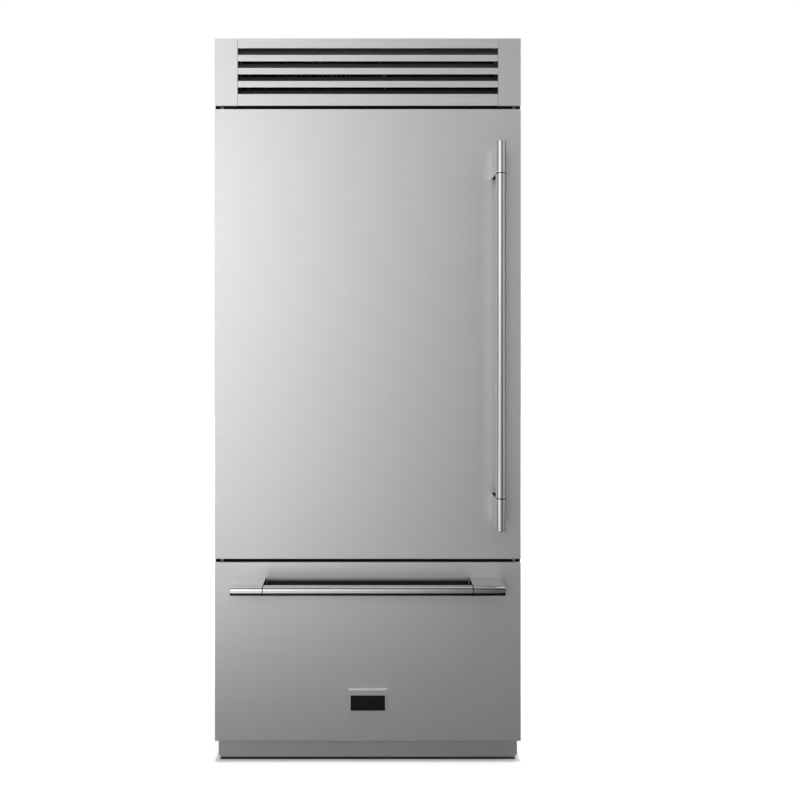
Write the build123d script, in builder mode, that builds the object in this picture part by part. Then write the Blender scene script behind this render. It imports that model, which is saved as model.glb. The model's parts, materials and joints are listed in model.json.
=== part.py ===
"""Built-in bottom freezer refrigerator with one left-hinged door and one freezer drawer.

Millimetres. X runs to the right, the door faces -Y and Z is up. The origin is on the floor under
the centre of the whole object's box, handles included.
"""

from build123d import *
import math
import os

os.makedirs("parts", exist_ok=True)

# ------------------------------------------------------------------ outside
width = 906.0  # door, drawer front and grille header
cabinet_margin = 8.0  # how far they stand proud of the cabinet on each side
body_depth = 620.0  # door face to cabinet back
kick_height = 80.0  # floor to drawer front
drawer_height = 529.0
door_height = 1332.0
grille_height = 199.0
reveal = 10.0  # dark gap above the drawer and above the door
door_thickness = 48.0
gasket_gap = 14.0  # door back to face frame
cabinet_base = 95.0  # floor to cabinet underside

# ------------------------------------------------------------------ sheet and walls
sheet = 1.5
frame_sheet = 3.0
liner_wall = 2.0
side_wall = 55.0  # cabinet side to liner face
back_wall = 60.0  # cabinet back to liner face
floor_wall = 35.0  # cabinet underside to freezer liner face
mullion = 88.0  # between the two cavities
head_wall = 49.0  # fridge cavity ceiling to machine deck
liner_corner = 15.0  # radius of a cavity's rear corners
fit_gap = 0.3  # between pieces that rest or meet without being fixed
running_gap = 0.05  # radial, shaft in bore

# ------------------------------------------------------------------ handles and badge
handle_diameter = 30.0
handle_standoff = 64.0  # bar axis to door face
handle_bracket_length = 91.4
handle_post_width = 28.0
handle_groove = 2.5  # shadow groove between bar and bracket
handle_spigot = 23.0  # turned-down end of the bar
door_handle_length = 1111.5
door_handle_x = 380.5
door_handle_drop = 6.6  # below the door's middle
drawer_handle_length = 785.0
drawer_handle_drop = 59.0  # below the drawer front's top
badge_width = 116.0
badge_height = 75.5
badge_thickness = 5.0
badge_bevel = 3.0
badge_bottom = 80.5  # above the drawer front's lower edge
inset_width = 102.0
inset_height = 45.3
inset_rise = 12.0  # badge lower edge to inset
inset_depth = 2.0

# ------------------------------------------------------------------ grille
trim_width = 67.0
trim_gap = 1.0
top_rail = 29.0
louvre_gap = 20.2
slat_face = 18.4
slat_count = 3
slat_back = 12.0  # how far a slat's upper flange leans back
slat_rise = 18.0  # how far it rises
rail_return = 25.0
grille_pivot_inset = 14.0  # pivot axis behind the grille face
grille_pivot_drop = 12.0  # and below its top
pivot_radius = 3.0

# ------------------------------------------------------------------ hinges
hinge_inset = 20.0  # hinge axis from the door's left edge
hinge_depth = 22.0  # and behind the door face
hinge_pin = 10.0
bush_diameter = 16.0
bush_length = 20.0
hinge_plate = 4.0
hinge_leaf_height = 60.0

# ------------------------------------------------------------------ door and drawer backs
pan_return = 18.0  # return flange of the door and drawer pans
gasket_inset = 21.0
gasket_width = 16.0
liner_inset = 12.0
dyke_inset_side = 81.0
dyke_inset_end = 53.0
dyke_width = 27.0
dyke_depth = 45.0
bin_lowest = 905.0
bin_pitch = 300.0
bin_count = 3
bin_height = 110.0
bin_depth = 105.0
bin_wall = 3.0
bin_corner = 9.0

# ------------------------------------------------------------------ fridge interior
shelf_lowest = 1105.0
shelf_pitch = 248.0
shelf_count = 3
shelf_front = -70.0
shelf_back = 253.0
shelf_glass_thickness = 5.0
ledge_depth = 10.0
ledge_height = 8.0
crisper_deck_level = 872.0
crisper_top = 850.0
crisper_front = -100.0
crisper_back = 240.0
crisper_wall = 2.5
crisper_corner = 9.0
runner_width = 8.0
divider = 8.0
duct_width = 140.0
duct_depth = 26.0

# ------------------------------------------------------------------ freezer interior
slide_level = 300.0
slide_height = 46.0
slide_length = 380.0
basket_clearance = 28.0  # cavity side to basket
basket_length = 370.0
basket_bottom = 145.0
basket_top = 400.0
basket_wall = 3.0
basket_corner = 24.0
basket_edge = 8.0  # radius round the bottom
tray_corner = 20.0
tray_inset = 12.0  # basket side to tray side
tray_length = 215.0
tray_height = 110.0
cover_face = 205.0  # evaporator cover, from the origin
fan_level = 480.0

# ------------------------------------------------------------------ base and machine compartment
kick_setback = 40.0
kick_lift = 8.0  # floor to toe kick
kick_gap = 2.0
kick_margin = 2.0  # inside the drawer front's ends
kick_corner = 12.0
base_rail = 40.0
base_rail_sheet = 2.5
foot_diameter = 40.0
foot_height = 10.0
leg_rod = 16.0
leg_y = -165.0
leg_travel = 22.0
wheel_diameter = 50.0
wheel_width = 22.0
axle_diameter = 10.0
wheel_y = 300.0
fan_radius = 62.0
fan_inset = 275.0  # from the cabinet's left side
shroud_half = 130.0
condenser_height = 168.0
compressor_inset = 265.0  # from the cabinet's right side
compressor_y = 120.0
compressor_height = 140.0
can_half = (100.0, 76.0)
can_round = 32.0
can_lift = 14.0
seam_lip = 5.0
plate_half = (110.0, 72.0)
foot_offset = (92.0, 56.0)
box_width = 180.0
box_depth = 80.0
box_height = 96.0
gland_inset = 145.0  # from the cabinet's left side
gland_radius = 11.0
anti_tip_spacing = 600.0  # holes in the lid for the anti-tip brackets
anti_tip_inset = 30.0
anti_tip_hole = 8.0

# ------------------------------------------------------------------ levels and planes
drawer_z = (kick_height, kick_height + drawer_height)
door_z = (drawer_z[1] + reveal, drawer_z[1] + reveal + door_height)
grille_z = (door_z[1] + reveal, door_z[1] + reveal + grille_height)
height = grille_z[1]
split_z = (drawer_z[1] + door_z[0]) / 2
handle_radius = handle_diameter / 2
total_depth = body_depth + handle_standoff + handle_radius
front_y = handle_standoff + handle_radius - total_depth / 2
back_y = total_depth / 2
pan_back = front_y + door_thickness
frame_y = (pan_back + gasket_gap, pan_back + gasket_gap + frame_sheet)
half = width / 2
cabinet_half = half - cabinet_margin
fan_x = fan_inset - cabinet_half
compressor_x = cabinet_half - compressor_inset
inner_half = cabinet_half - sheet
inner_y = (frame_y[1], back_y - 2 * sheet)
cavity_half = cabinet_half - side_wall
cavity_back = back_y - back_wall
deck_z = (grille_z[0] - liner_wall, grille_z[0])
fridge_z = (split_z + mullion / 2, grille_z[0] - head_wall)
freezer_z = (cabinet_base + floor_wall, split_z - mullion / 2)
deck_top = deck_z[1]
shelf_levels = [shelf_lowest + i * shelf_pitch for i in range(shelf_count)]
bin_levels = [bin_lowest + i * bin_pitch for i in range(bin_count)]
cover_top = height - sheet
trim_x = (half - trim_width, half)
grille_half = trim_x[0] - trim_gap
pivot_y = front_y + grille_pivot_inset
pivot_z = height - grille_pivot_drop
cover_front = pivot_y + math.hypot(rail_return - grille_pivot_inset, grille_pivot_drop) + 2.0


def block(x, y, z, mode=Mode.ADD):
    """A box between (low, high) limits along X, Y and Z, in the part being built."""
    with Locations(((x[0] + x[1]) / 2, (y[0] + y[1]) / 2, (z[0] + z[1]) / 2)):
        Box(x[1] - x[0], y[1] - y[0], z[1] - z[0], mode=mode)


def round_bar(centre, along, radius, length, mode=Mode.ADD):
    """A cylinder centred on a point and lying along X, Y or Z."""
    turn = {"x": (0, 90, 0), "y": (90, 0, 0), "z": (0, 0, 0)}[along]
    with Locations(centre):
        Cylinder(radius, length, rotation=turn, mode=mode)


def both_sides(low, high):
    """The same X limits on the left and on the right."""
    return ((-high, -low), (low, high))


# ================================================================== cabinet shell
with BuildPart() as side_panels:
    # flat sides with a rear flange for the back panel and a top flange for the cover
    for x in both_sides(inner_half, cabinet_half):
        block(x, (frame_y[1], back_y - sheet), (cabinet_base, cover_top))
    for x in both_sides(inner_half - pan_return, inner_half):
        block(x, (back_y - 2 * sheet, back_y - sheet), (cabinet_base, cover_top))
        block(x, (frame_y[1], back_y - sheet), (cover_top - sheet, cover_top))
side_panels.part.label = "side_panels"
export_step(side_panels.part, "parts/side_panels.step")

gland_x = gland_inset - cabinet_half
gland_z = (deck_top + height) / 2
with BuildPart() as back_panel:
    block((-cabinet_half, cabinet_half), (back_y - sheet, back_y), (cabinet_base, cover_top))
    round_bar((gland_x, back_y, gland_z), "y", gland_radius, 4 * sheet, Mode.SUBTRACT)
back_panel.part.label = "back_panel"
export_step(back_panel.part, "parts/back_panel.step")

gland_bore = gland_radius - 5.0
gland_lip = 3.0
with BuildPart() as power_gland:
    # rubber grommet in the back panel: a groove grips the sheet, a lip stands inside
    with BuildSketch(Plane.XZ.offset(-back_y)):
        with Locations((gland_x, gland_z)):
            Circle(gland_radius)
            Circle(gland_bore, mode=Mode.SUBTRACT)
    extrude(amount=sheet + 2 * gland_lip)
    with BuildSketch(Plane.XZ.offset(-back_y + sheet)):
        with Locations((gland_x, gland_z)):
            Circle(gland_radius + gland_lip)
            Circle(gland_bore, mode=Mode.SUBTRACT)
    extrude(amount=gland_lip)
power_gland.part.label = "power_gland"
export_step(power_gland.part, "parts/power_gland.step")

with BuildPart() as top_cover:
    # flat lid, reaching forward between the grille trims as far as the swinging panel allows
    block((-cabinet_half, cabinet_half), (frame_y[1], back_y), (cover_top, height))
    block((-grille_half, grille_half), (cover_front, frame_y[1]), (cover_top, height))
    lip_z = (cover_top - rail_return / 2, cover_top)
    block((-grille_half, grille_half), (cover_front, cover_front + sheet), lip_z)
    for x in (-anti_tip_spacing / 2, anti_tip_spacing / 2):
        hole = (x, back_y - anti_tip_inset, height)
        round_bar(hole, "z", anti_tip_hole / 2, 4 * sheet, Mode.SUBTRACT)
top_cover.part.label = "top_cover"
export_step(top_cover.part, "parts/top_cover.step")

with BuildPart() as machine_deck:
    block((-inner_half, inner_half), inner_y, deck_z)
machine_deck.part.label = "machine_deck"
export_step(machine_deck.part, "parts/machine_deck.step")


def cavity(z, grow=0.0, mode=Mode.ADD):
    """The room inside a liner, or the liner's outside when grown by its wall."""
    depth = cavity_back + grow - frame_y[1]
    with BuildSketch(Plane.XY.offset(z[0] - grow)) as plan:
        with Locations((0, frame_y[1] + depth / 2)):
            Rectangle(2 * (cavity_half + grow), depth)
        fillet(plan.vertices().group_by(Axis.Y)[-1], liner_corner + grow)
    extrude(plan.sketch, amount=z[1] - z[0] + 2 * grow, mode=mode)


with BuildPart() as cabinet_foam:
    block((-inner_half, inner_half), inner_y, (cabinet_base, deck_z[0]))
    for z in (fridge_z, freezer_z):
        cavity(z, liner_wall, Mode.SUBTRACT)
cabinet_foam.part.label = "cabinet_foam"
export_step(cabinet_foam.part, "parts/cabinet_foam.step")

# ledges carry the shelves and the crisper deck, and lower ones run under the crispers' rims
ledge_tops = (*shelf_levels, crisper_deck_level)
runner_top = crisper_top - fit_gap
with BuildPart() as fridge_liner:
    cavity(fridge_z, liner_wall)
    cavity(fridge_z, mode=Mode.SUBTRACT)
    for x in both_sides(cavity_half - ledge_depth, cavity_half):
        for top in ledge_tops:
            block(x, (shelf_front + 10, shelf_back), (top - ledge_height, top))
        block(x, (crisper_front + 10, crisper_back), (runner_top - ledge_height, runner_top))
fridge_liner.part.label = "fridge_liner"
export_step(fridge_liner.part, "parts/fridge_liner.step")

with BuildPart() as freezer_liner:
    cavity(freezer_z, liner_wall)
    cavity(freezer_z, mode=Mode.SUBTRACT)
freezer_liner.part.label = "freezer_liner"
export_step(freezer_liner.part, "parts/freezer_liner.step")

with BuildPart() as face_frame:
    block((-cabinet_half, cabinet_half), frame_y, (cabinet_base, grille_z[0]))
    for z in (fridge_z, freezer_z):
        block((-cavity_half, cavity_half), (frame_y[0] - 1, frame_y[1] + 1), z, Mode.SUBTRACT)
face_frame.part.label = "face_frame"
export_step(face_frame.part, "parts/face_frame.step")

# ================================================================== base, feet and wheels
base_y = (frame_y[1], back_y - sheet)
rail_x = cabinet_half - base_rail / 2  # middle of a side rail
web_z = cabinet_base - base_rail_sheet
socket_bottom = 60.0
fork_gap = wheel_width / 2 + 2.0
fork_sheet = 3.0
fork_half_length = 15.0
fork_bottom = wheel_diameter / 2 - 13.0
axle_z = wheel_diameter / 2
with BuildPart() as base_frame:
    # one welded ring of downward channels, with leg sockets in front and wheel forks behind
    block((-cabinet_half, cabinet_half), base_y, (cabinet_base - base_rail, cabinet_base))
    window_x = cabinet_half - base_rail
    window_y = (base_y[0] + base_rail, base_y[1] - base_rail)
    block(
        (-window_x, window_x), window_y, (cabinet_base - 2 * base_rail, cabinet_base), Mode.SUBTRACT
    )
    for x in both_sides(window_x + base_rail_sheet, cabinet_half - base_rail_sheet):
        block(
            x,
            (base_y[0] + base_rail_sheet, base_y[1] - base_rail_sheet),
            (cabinet_base - 2 * base_rail, web_z),
            Mode.SUBTRACT,
        )
    for side in (-1, 1):
        round_bar((side * rail_x, leg_y, (socket_bottom + web_z) / 2), "z", 14, web_z - socket_bottom)
        for cheek in (-1, 1):
            x = side * rail_x + cheek * (fork_gap + fork_sheet / 2)
            block(
                (x - fork_sheet / 2, x + fork_sheet / 2),
                (wheel_y - fork_half_length, wheel_y + fork_half_length),
                (fork_bottom, web_z),
            )
        round_bar((side * rail_x, wheel_y, axle_z), "x", axle_diameter / 2, 2 * fork_gap)
    leg_bore = leg_rod / 2 + running_gap
    for side in (-1, 1):
        round_bar(
            (side * rail_x, leg_y, (socket_bottom + web_z) / 2 - 2),
            "z",
            leg_bore,
            web_z - socket_bottom,
            Mode.SUBTRACT,
        )
base_frame.part.label = "base_frame"
export_step(base_frame.part, "parts/base_frame.step")

leg_engagement = 6.5  # rod left in its socket with the leg let right down
leg_top = socket_bottom + leg_travel + leg_engagement
for side, hand in ((-1, "left"), (1, "right")):
    with BuildPart() as leg:
        with BuildSketch(Plane.XZ.offset(-leg_y)):
            # half section: wide pad, wrench hexagon left to the finish, plain rod
            with BuildLine():
                Polyline(
                    (side * rail_x, 0),
                    (side * rail_x + foot_diameter / 2, 0),
                    (side * rail_x + foot_diameter / 2, foot_height * 0.6),
                    (side * rail_x + leg_rod / 2 + 3, foot_height),
                    (side * rail_x + leg_rod / 2, foot_height),
                    (side * rail_x + leg_rod / 2, leg_top),
                    (side * rail_x, leg_top),
                    close=True,
                )
            make_face()
        revolve(axis=Axis((side * rail_x, leg_y, 0), (0, 0, 1)))
    leg.part.label = f"leg_{hand}"
    export_step(leg.part, f"parts/leg_{hand}.step")

    with BuildPart() as wheel:
        round_bar((side * rail_x, wheel_y, axle_z), "x", wheel_diameter / 2, wheel_width)
        fillet(wheel.edges().filter_by(GeomType.CIRCLE), 2)
        round_bar(
            (side * rail_x, wheel_y, axle_z),
            "x",
            axle_diameter / 2 + running_gap,
            2 * wheel_width,
            Mode.SUBTRACT,
        )
    wheel.part.label = f"wheel_{hand}"
    export_step(wheel.part, f"parts/wheel_{hand}.step")

kick_face = front_y + kick_setback
kick_half = half - kick_margin
kick_z = (kick_lift, kick_height - kick_gap)
with BuildPart() as toe_kick:
    with BuildSketch(Plane.XZ.offset(-kick_face)) as kick_plan:
        with Locations((0, (kick_z[0] + kick_z[1]) / 2)):
            Rectangle(2 * kick_half, kick_z[1] - kick_z[0])
        fillet(kick_plan.vertices().group_by(Axis.Y)[0], kick_corner)
    extrude(amount=-sheet)
    block((-kick_half, kick_half), (kick_face, base_y[0]), (kick_z[1] - sheet, kick_z[1]))
    for x in both_sides(kick_half - sheet, kick_half):
        block(x, (kick_face, base_y[0]), (kick_z[0] + kick_corner, kick_z[1]))
toe_kick.part.label = "toe_kick"
export_step(toe_kick.part, "parts/toe_kick.step")

# ================================================================== grille header
with BuildPart() as grille_side_trims:
    # two folded boxes, open at the back beside the cabinet's front edge
    for side, x in zip((-1, 1), both_sides(*trim_x)):
        block(x, (front_y, frame_y[1]), grille_z)
        inside = (x[0] + sheet, x[1] - sheet)
        z = (grille_z[0] + sheet, height - sheet)
        block(inside, (front_y + sheet, frame_y[1] - sheet), z, Mode.SUBTRACT)
        edge = side * (cabinet_half - pan_return)
        window = (edge, inside[1]) if side < 0 else (inside[0], edge)
        block(window, (frame_y[1] - 2 * sheet, frame_y[1] + 1), z, Mode.SUBTRACT)
        round_bar(
            (side * trim_x[0], pivot_y, pivot_z),
            "x",
            pivot_radius + running_gap,
            4 * sheet,
            Mode.SUBTRACT,
        )
    front_corners = (
        grille_side_trims.edges().filter_by(Axis.Z).group_by(Axis.Y)[0].sort_by(Axis.X)
    )
    fillet([front_corners[0], front_corners[-1]], sheet)
grille_side_trims.part.label = "grille_side_trims"
export_step(grille_side_trims.part, "parts/grille_side_trims.step")

pivot_reach = 6.0
end_plate = 2.0
slat_pitch = louvre_gap + slat_face
bottom_rail_top = height - top_rail - slat_count * slat_pitch - louvre_gap
with BuildPart() as grille_panel:
    # top rail: face and return
    block((-grille_half, grille_half), (front_y, front_y + sheet), (height - top_rail, height))
    block((-grille_half, grille_half), (front_y, front_y + rail_return), (height - sheet, height))
    # each slat is a face with a flange that leans back behind the opening above it; the bottom
    # rail is a taller face with the same flange and a return underneath
    faces = [
        (height - top_rail - (i + 1) * slat_pitch, height - top_rail - i * slat_pitch - louvre_gap)
        for i in range(slat_count)
    ]
    faces.append((grille_z[0], bottom_rail_top))
    for low, high in faces:
        slope = math.hypot(slat_back, slat_rise)
        drop = sheet * (slope - slat_rise) / slat_back
        with BuildSketch(Plane.YZ.offset(-grille_half)):
            with BuildLine():
                Polyline(
                    (front_y, low),
                    (front_y, high),
                    (front_y + slat_back, high + slat_rise),
                    (
                        front_y + slat_back + sheet * slat_rise / slope,
                        high + slat_rise - sheet * slat_back / slope,
                    ),
                    (front_y + sheet, high - drop),
                    (front_y + sheet, low),
                    close=True,
                )
            make_face()
        extrude(amount=2 * grille_half)
    block(
        (-grille_half, grille_half),
        (front_y, front_y + rail_return),
        (grille_z[0], grille_z[0] + sheet),
    )
    for side, x in zip((-1, 1), both_sides(grille_half - end_plate, grille_half)):
        block(x, (front_y + sheet, front_y + rail_return), grille_z)
        pin_x = grille_half + pivot_reach / 2 - end_plate / 2
        round_bar(
            (side * pin_x, pivot_y, pivot_z), "x", pivot_radius, pivot_reach + end_plate
        )
grille_panel.part.label = "grille_panel"
export_step(grille_panel.part, "parts/grille_panel.step")

# ================================================================== hinges
hinge_x = hinge_inset - half
hinge_y = front_y + hinge_depth
leaf_x = (half - gasket_inset + 2.0, cabinet_half + 4.0)
plate_x = (leaf_x[0] - 9.0, leaf_x[1])
lug_radius = 9.0
thrust_washer = 3.0
pin_reach = 16.0
with BuildPart() as hinge_brackets:
    # plates in the gaps above and below the door, each with a leaf down the face frame
    for plate_z in (
        (door_z[1] + thrust_washer, door_z[1] + thrust_washer + hinge_plate),
        (door_z[0] - thrust_washer - hinge_plate, door_z[0] - thrust_washer),
    ):
        for x in both_sides(*plate_x):
            block(x, (hinge_y, frame_y[0]), plate_z)
        for x in both_sides(*leaf_x):
            leaf = (plate_z[1] - hinge_leaf_height, plate_z[1])
            block(x, (frame_y[0] - hinge_plate, frame_y[0]), leaf)
        for side in (-1, 1):
            lug = (-side * hinge_x, hinge_y, (plate_z[0] + plate_z[1]) / 2)
            round_bar(lug, "z", lug_radius, hinge_plate)
    upper_pin = (door_z[1] - pin_reach, door_z[1] + thrust_washer)
    lower_pin = (door_z[0] - thrust_washer, door_z[0] + pin_reach)
    for pin in (upper_pin, lower_pin):
        middle = (hinge_x, hinge_y, (pin[0] + pin[1]) / 2)
        round_bar(middle, "z", hinge_pin / 2, pin[1] - pin[0])
    # on the handle side a glide stands where the pin would be, just clear of the door
    for low in (door_z[1] + fit_gap, door_z[0] - thrust_washer):
        glide = thrust_washer - fit_gap
        round_bar((-hinge_x, hinge_y, low + glide / 2), "z", hinge_pin / 2, glide)
hinge_brackets.part.label = "hinge_brackets"
export_step(hinge_brackets.part, "parts/hinge_brackets.step")

bush_bore = hinge_pin / 2 + running_gap
with BuildPart() as hinge_bushes:
    # sleeves in the door's ends; the lower one has the washer that carries the door
    for z in ((door_z[1] - bush_length, door_z[1]), (door_z[0], door_z[0] + bush_length)):
        round_bar((hinge_x, hinge_y, (z[0] + z[1]) / 2), "z", bush_diameter / 2, bush_length)
    washer_z = door_z[0] - (thrust_washer - fit_gap) / 2
    round_bar((hinge_x, hinge_y, washer_z), "z", bush_diameter / 2, thrust_washer - fit_gap)
    for z in (door_z[1], door_z[0]):
        round_bar((hinge_x, hinge_y, z), "z", bush_bore, 2 * bush_length - 2, Mode.SUBTRACT)
hinge_bushes.part.label = "hinge_bushes"
export_step(hinge_bushes.part, "parts/hinge_bushes.step")


# ================================================================== door and drawer front
def pan(z, skin):
    """A folded sheet pan: face, four sides and a return flange round the open back."""
    block((-half, half), (front_y, pan_back), z)
    edges = skin.edges().group_by(Axis.Y)[0]
    fillet(edges, sheet)
    inside = ((-half + sheet, half - sheet), (z[0] + sheet, z[1] - sheet))
    block(inside[0], (front_y + sheet, pan_back - sheet), inside[1], Mode.SUBTRACT)
    block(
        (-half + pan_return, half - pan_return),
        (pan_back - 2 * sheet, pan_back + 1),
        (z[0] + pan_return, z[1] - pan_return),
        Mode.SUBTRACT,
    )


def pan_filling(z):
    """The foam that fills a pan."""
    block((-half + sheet, half - sheet), (front_y + sheet, pan_back - sheet), (z[0] + sheet, z[1] - sheet))
    block(
        (-half + pan_return, half - pan_return),
        (pan_back - 2 * sheet, pan_back),
        (z[0] + pan_return, z[1] - pan_return),
    )


def bush_holes(mode=Mode.SUBTRACT):
    """Bores for the hinge bushes in the door's two ends."""
    for z in (door_z[1] - bush_length / 2, door_z[0] + bush_length / 2):
        round_bar((hinge_x, hinge_y, z), "z", bush_diameter / 2, bush_length, mode)


def gasket_ring(z):
    """The magnetic seal between a pan's liner and the face frame."""
    y = (pan_back + liner_wall, frame_y[0] - fit_gap)
    block((-half + gasket_inset, half - gasket_inset), y, (z[0] + gasket_inset, z[1] - gasket_inset))
    inner = gasket_inset + gasket_width
    block((-half + inner, half - inner), y, (z[0] + inner, z[1] - inner), Mode.SUBTRACT)


with BuildPart() as door_skin:
    pan(door_z, door_skin)
    bush_holes()
door_skin.part.label = "door_skin"
export_step(door_skin.part, "parts/door_skin.step")

dyke_x = (half - dyke_inset_side - dyke_width, half - dyke_inset_side)
dyke_z = (door_z[0] + dyke_inset_end, door_z[1] - dyke_inset_end)
dyke_y = (pan_back + liner_wall, pan_back + liner_wall + dyke_depth)


def dyke(grow, y):
    """The raised ring round the door liner, or the foam inside it when grow is negative."""
    outer_x = dyke_x[1] + grow
    inner_x = dyke_x[0] - grow
    block((-outer_x, outer_x), y, (dyke_z[0] - grow, dyke_z[1] + grow))
    block(
        (-inner_x, inner_x),
        (y[0] + 0.0, y[1] + 1),
        (dyke_z[0] + dyke_width + grow, dyke_z[1] - dyke_width - grow),
        Mode.SUBTRACT,
    )


with BuildPart() as dyke_core:
    # what the hollow dyke holds, cut from the liner and added to the foam
    dyke(-liner_wall, (pan_back, dyke_y[1] - liner_wall))

bin_half = dyke_x[0] - fit_gap
lug_depth = 12.0
with BuildPart() as door_liner:
    dyke(0.0, dyke_y)
    block(
        (-half + liner_inset, half - liner_inset),
        (pan_back, pan_back + liner_wall),
        (door_z[0] + liner_inset, door_z[1] - liner_inset),
    )
    add(dyke_core.part, mode=Mode.SUBTRACT)
    for x in both_sides(dyke_x[0] - lug_depth, dyke_x[0]):
        for level in bin_levels:
            block(x, (dyke_y[0], dyke_y[1]), (level - ledge_height, level))
door_liner.part.label = "door_liner"
export_step(door_liner.part, "parts/door_liner.step")

with BuildPart() as door_foam:
    pan_filling(door_z)
    bush_holes()
    add(dyke_core.part)
door_foam.part.label = "door_foam"
export_step(door_foam.part, "parts/door_foam.step")

with BuildPart() as door_gasket:
    gasket_ring(door_z)
door_gasket.part.label = "door_gasket"
export_step(door_gasket.part, "parts/door_gasket.step")

bin_y = (pan_back + liner_wall + fit_gap, pan_back + liner_wall + fit_gap + bin_depth)
with BuildPart() as door_bins:
    for level in bin_levels:
        for wall, mode in ((0.0, Mode.ADD), (bin_wall, Mode.SUBTRACT)):
            with BuildSketch(Plane.XY.offset(level + wall)) as outline:
                with Locations((0, (bin_y[0] + bin_y[1]) / 2)):
                    Rectangle(2 * (bin_half - wall), bin_depth - 2 * wall)
                fillet(outline.vertices().group_by(Axis.Y)[-1], bin_corner - wall)
            extrude(amount=bin_height, mode=mode)
door_bins.part.label = "door_bins"
export_step(door_bins.part, "parts/door_bins.step")

with BuildPart() as drawer_skin:
    pan(drawer_z, drawer_skin)
drawer_skin.part.label = "drawer_skin"
export_step(drawer_skin.part, "parts/drawer_skin.step")

# the drawer's liner has one raised field instead of a ring
field_margin = 50.0  # inside the cavity's sides
field_inset = 70.0
field_depth = 14.0
field_half = cavity_half - field_margin
field_z = (drawer_z[0] + field_inset, drawer_z[1] - field_inset)
with BuildPart() as drawer_field:
    block(
        (-field_half + liner_wall, field_half - liner_wall),
        (pan_back, pan_back + field_depth),
        (field_z[0] + liner_wall, field_z[1] - liner_wall),
    )

with BuildPart() as drawer_liner:
    block(
        (-half + liner_inset, half - liner_inset),
        (pan_back, pan_back + liner_wall),
        (drawer_z[0] + liner_inset, drawer_z[1] - liner_inset),
    )
    block((-field_half, field_half), (pan_back, pan_back + liner_wall + field_depth), field_z)
    add(drawer_field.part, mode=Mode.SUBTRACT)
drawer_liner.part.label = "drawer_liner"
export_step(drawer_liner.part, "parts/drawer_liner.step")

with BuildPart() as drawer_foam:
    pan_filling(drawer_z)
    add(drawer_field.part)
drawer_foam.part.label = "drawer_foam"
export_step(drawer_foam.part, "parts/drawer_foam.step")

with BuildPart() as drawer_gasket:
    gasket_ring(drawer_z)
drawer_gasket.part.label = "drawer_gasket"
export_step(drawer_gasket.part, "parts/drawer_gasket.step")

# ================================================================== handles
bar_y = front_y - handle_standoff
spigot_length = 18.0
cap_chamfer = 1.2


def handle_bar(centre, along, length):
    """The middle length of a handle, turned down at both ends to enter its brackets."""
    bar = length - 2 * (handle_bracket_length + handle_groove)
    round_bar(centre, along, handle_radius, bar)
    round_bar(centre, along, handle_spigot / 2, bar + 2 * (handle_groove + spigot_length))


def handle_bracket(along, start, middle):
    """A round end on a straight post, from start towards middle along the bar's axis."""
    step = math.copysign(1.0, middle - start)
    end = start + step * handle_bracket_length
    span = (min(start, end), max(start, end))
    post = (bar_y, front_y)
    across = handle_post_width / 2
    if along == "z":
        centre = (door_handle_x, bar_y, (start + end) / 2)
        block((door_handle_x - across, door_handle_x + across), post, span)
        bore = (door_handle_x, bar_y, end)
    else:
        centre = ((start + end) / 2, bar_y, drawer_handle_z)
        block(span, post, (drawer_handle_z - across, drawer_handle_z + across))
        bore = (end, bar_y, drawer_handle_z)
    round_bar(centre, along, handle_radius, handle_bracket_length)
    round_bar(bore, along, handle_spigot / 2, 2 * spigot_length, Mode.SUBTRACT)


def cap_edges(brackets, along):
    """The rims of a handle's two end faces, apart from the edges that lie on the door."""
    caps = brackets.faces().sort_by(along)
    rims = caps[0].edges() + caps[-1].edges()
    return rims.filter_by_position(Axis.Y, -total_depth, front_y - cap_chamfer)


door_handle_z = (door_z[0] + door_z[1]) / 2 - door_handle_drop
drawer_handle_z = drawer_z[1] - drawer_handle_drop
with BuildPart() as door_handle_bar:
    handle_bar((door_handle_x, bar_y, door_handle_z), "z", door_handle_length)
door_handle_bar.part.label = "door_handle_bar"
export_step(door_handle_bar.part, "parts/door_handle_bar.step")

with BuildPart() as door_handle_brackets:
    for end in (-1, 1):
        handle_bracket("z", door_handle_z + end * door_handle_length / 2, door_handle_z)
    chamfer(cap_edges(door_handle_brackets, Axis.Z), cap_chamfer)
door_handle_brackets.part.label = "door_handle_brackets"
export_step(door_handle_brackets.part, "parts/door_handle_brackets.step")

with BuildPart() as drawer_handle_bar:
    handle_bar((0, bar_y, drawer_handle_z), "x", drawer_handle_length)
drawer_handle_bar.part.label = "drawer_handle_bar"
export_step(drawer_handle_bar.part, "parts/drawer_handle_bar.step")

with BuildPart() as drawer_handle_brackets:
    for end in (-1, 1):
        handle_bracket("x", end * drawer_handle_length / 2, 0)
    chamfer(cap_edges(drawer_handle_brackets, Axis.X), cap_chamfer)
drawer_handle_brackets.part.label = "drawer_handle_brackets"
export_step(drawer_handle_brackets.part, "parts/drawer_handle_brackets.step")

badge_z = (drawer_z[0] + badge_bottom, drawer_z[0] + badge_bottom + badge_height)
inset_z = (badge_z[0] + inset_rise, badge_z[0] + inset_rise + inset_height)
badge_y = (front_y - badge_thickness, front_y)
with BuildPart() as badge_plate:
    block((-badge_width / 2, badge_width / 2), badge_y, badge_z)
    chamfer(badge_plate.edges().group_by(Axis.Y)[0], badge_bevel)
    block(
        (-inset_width / 2, inset_width / 2),
        (badge_y[0] - 1, badge_y[0] + inset_depth),
        inset_z,
        Mode.SUBTRACT,
    )
badge_plate.part.label = "badge_plate"
export_step(badge_plate.part, "parts/badge_plate.step")

with BuildPart() as badge_inset:
    block(
        (-inset_width / 2, inset_width / 2),
        (badge_y[0] + inset_depth / 4, badge_y[0] + inset_depth),
        inset_z,
    )
badge_inset.part.label = "badge_inset"
export_step(badge_inset.part, "parts/badge_inset.step")

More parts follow.
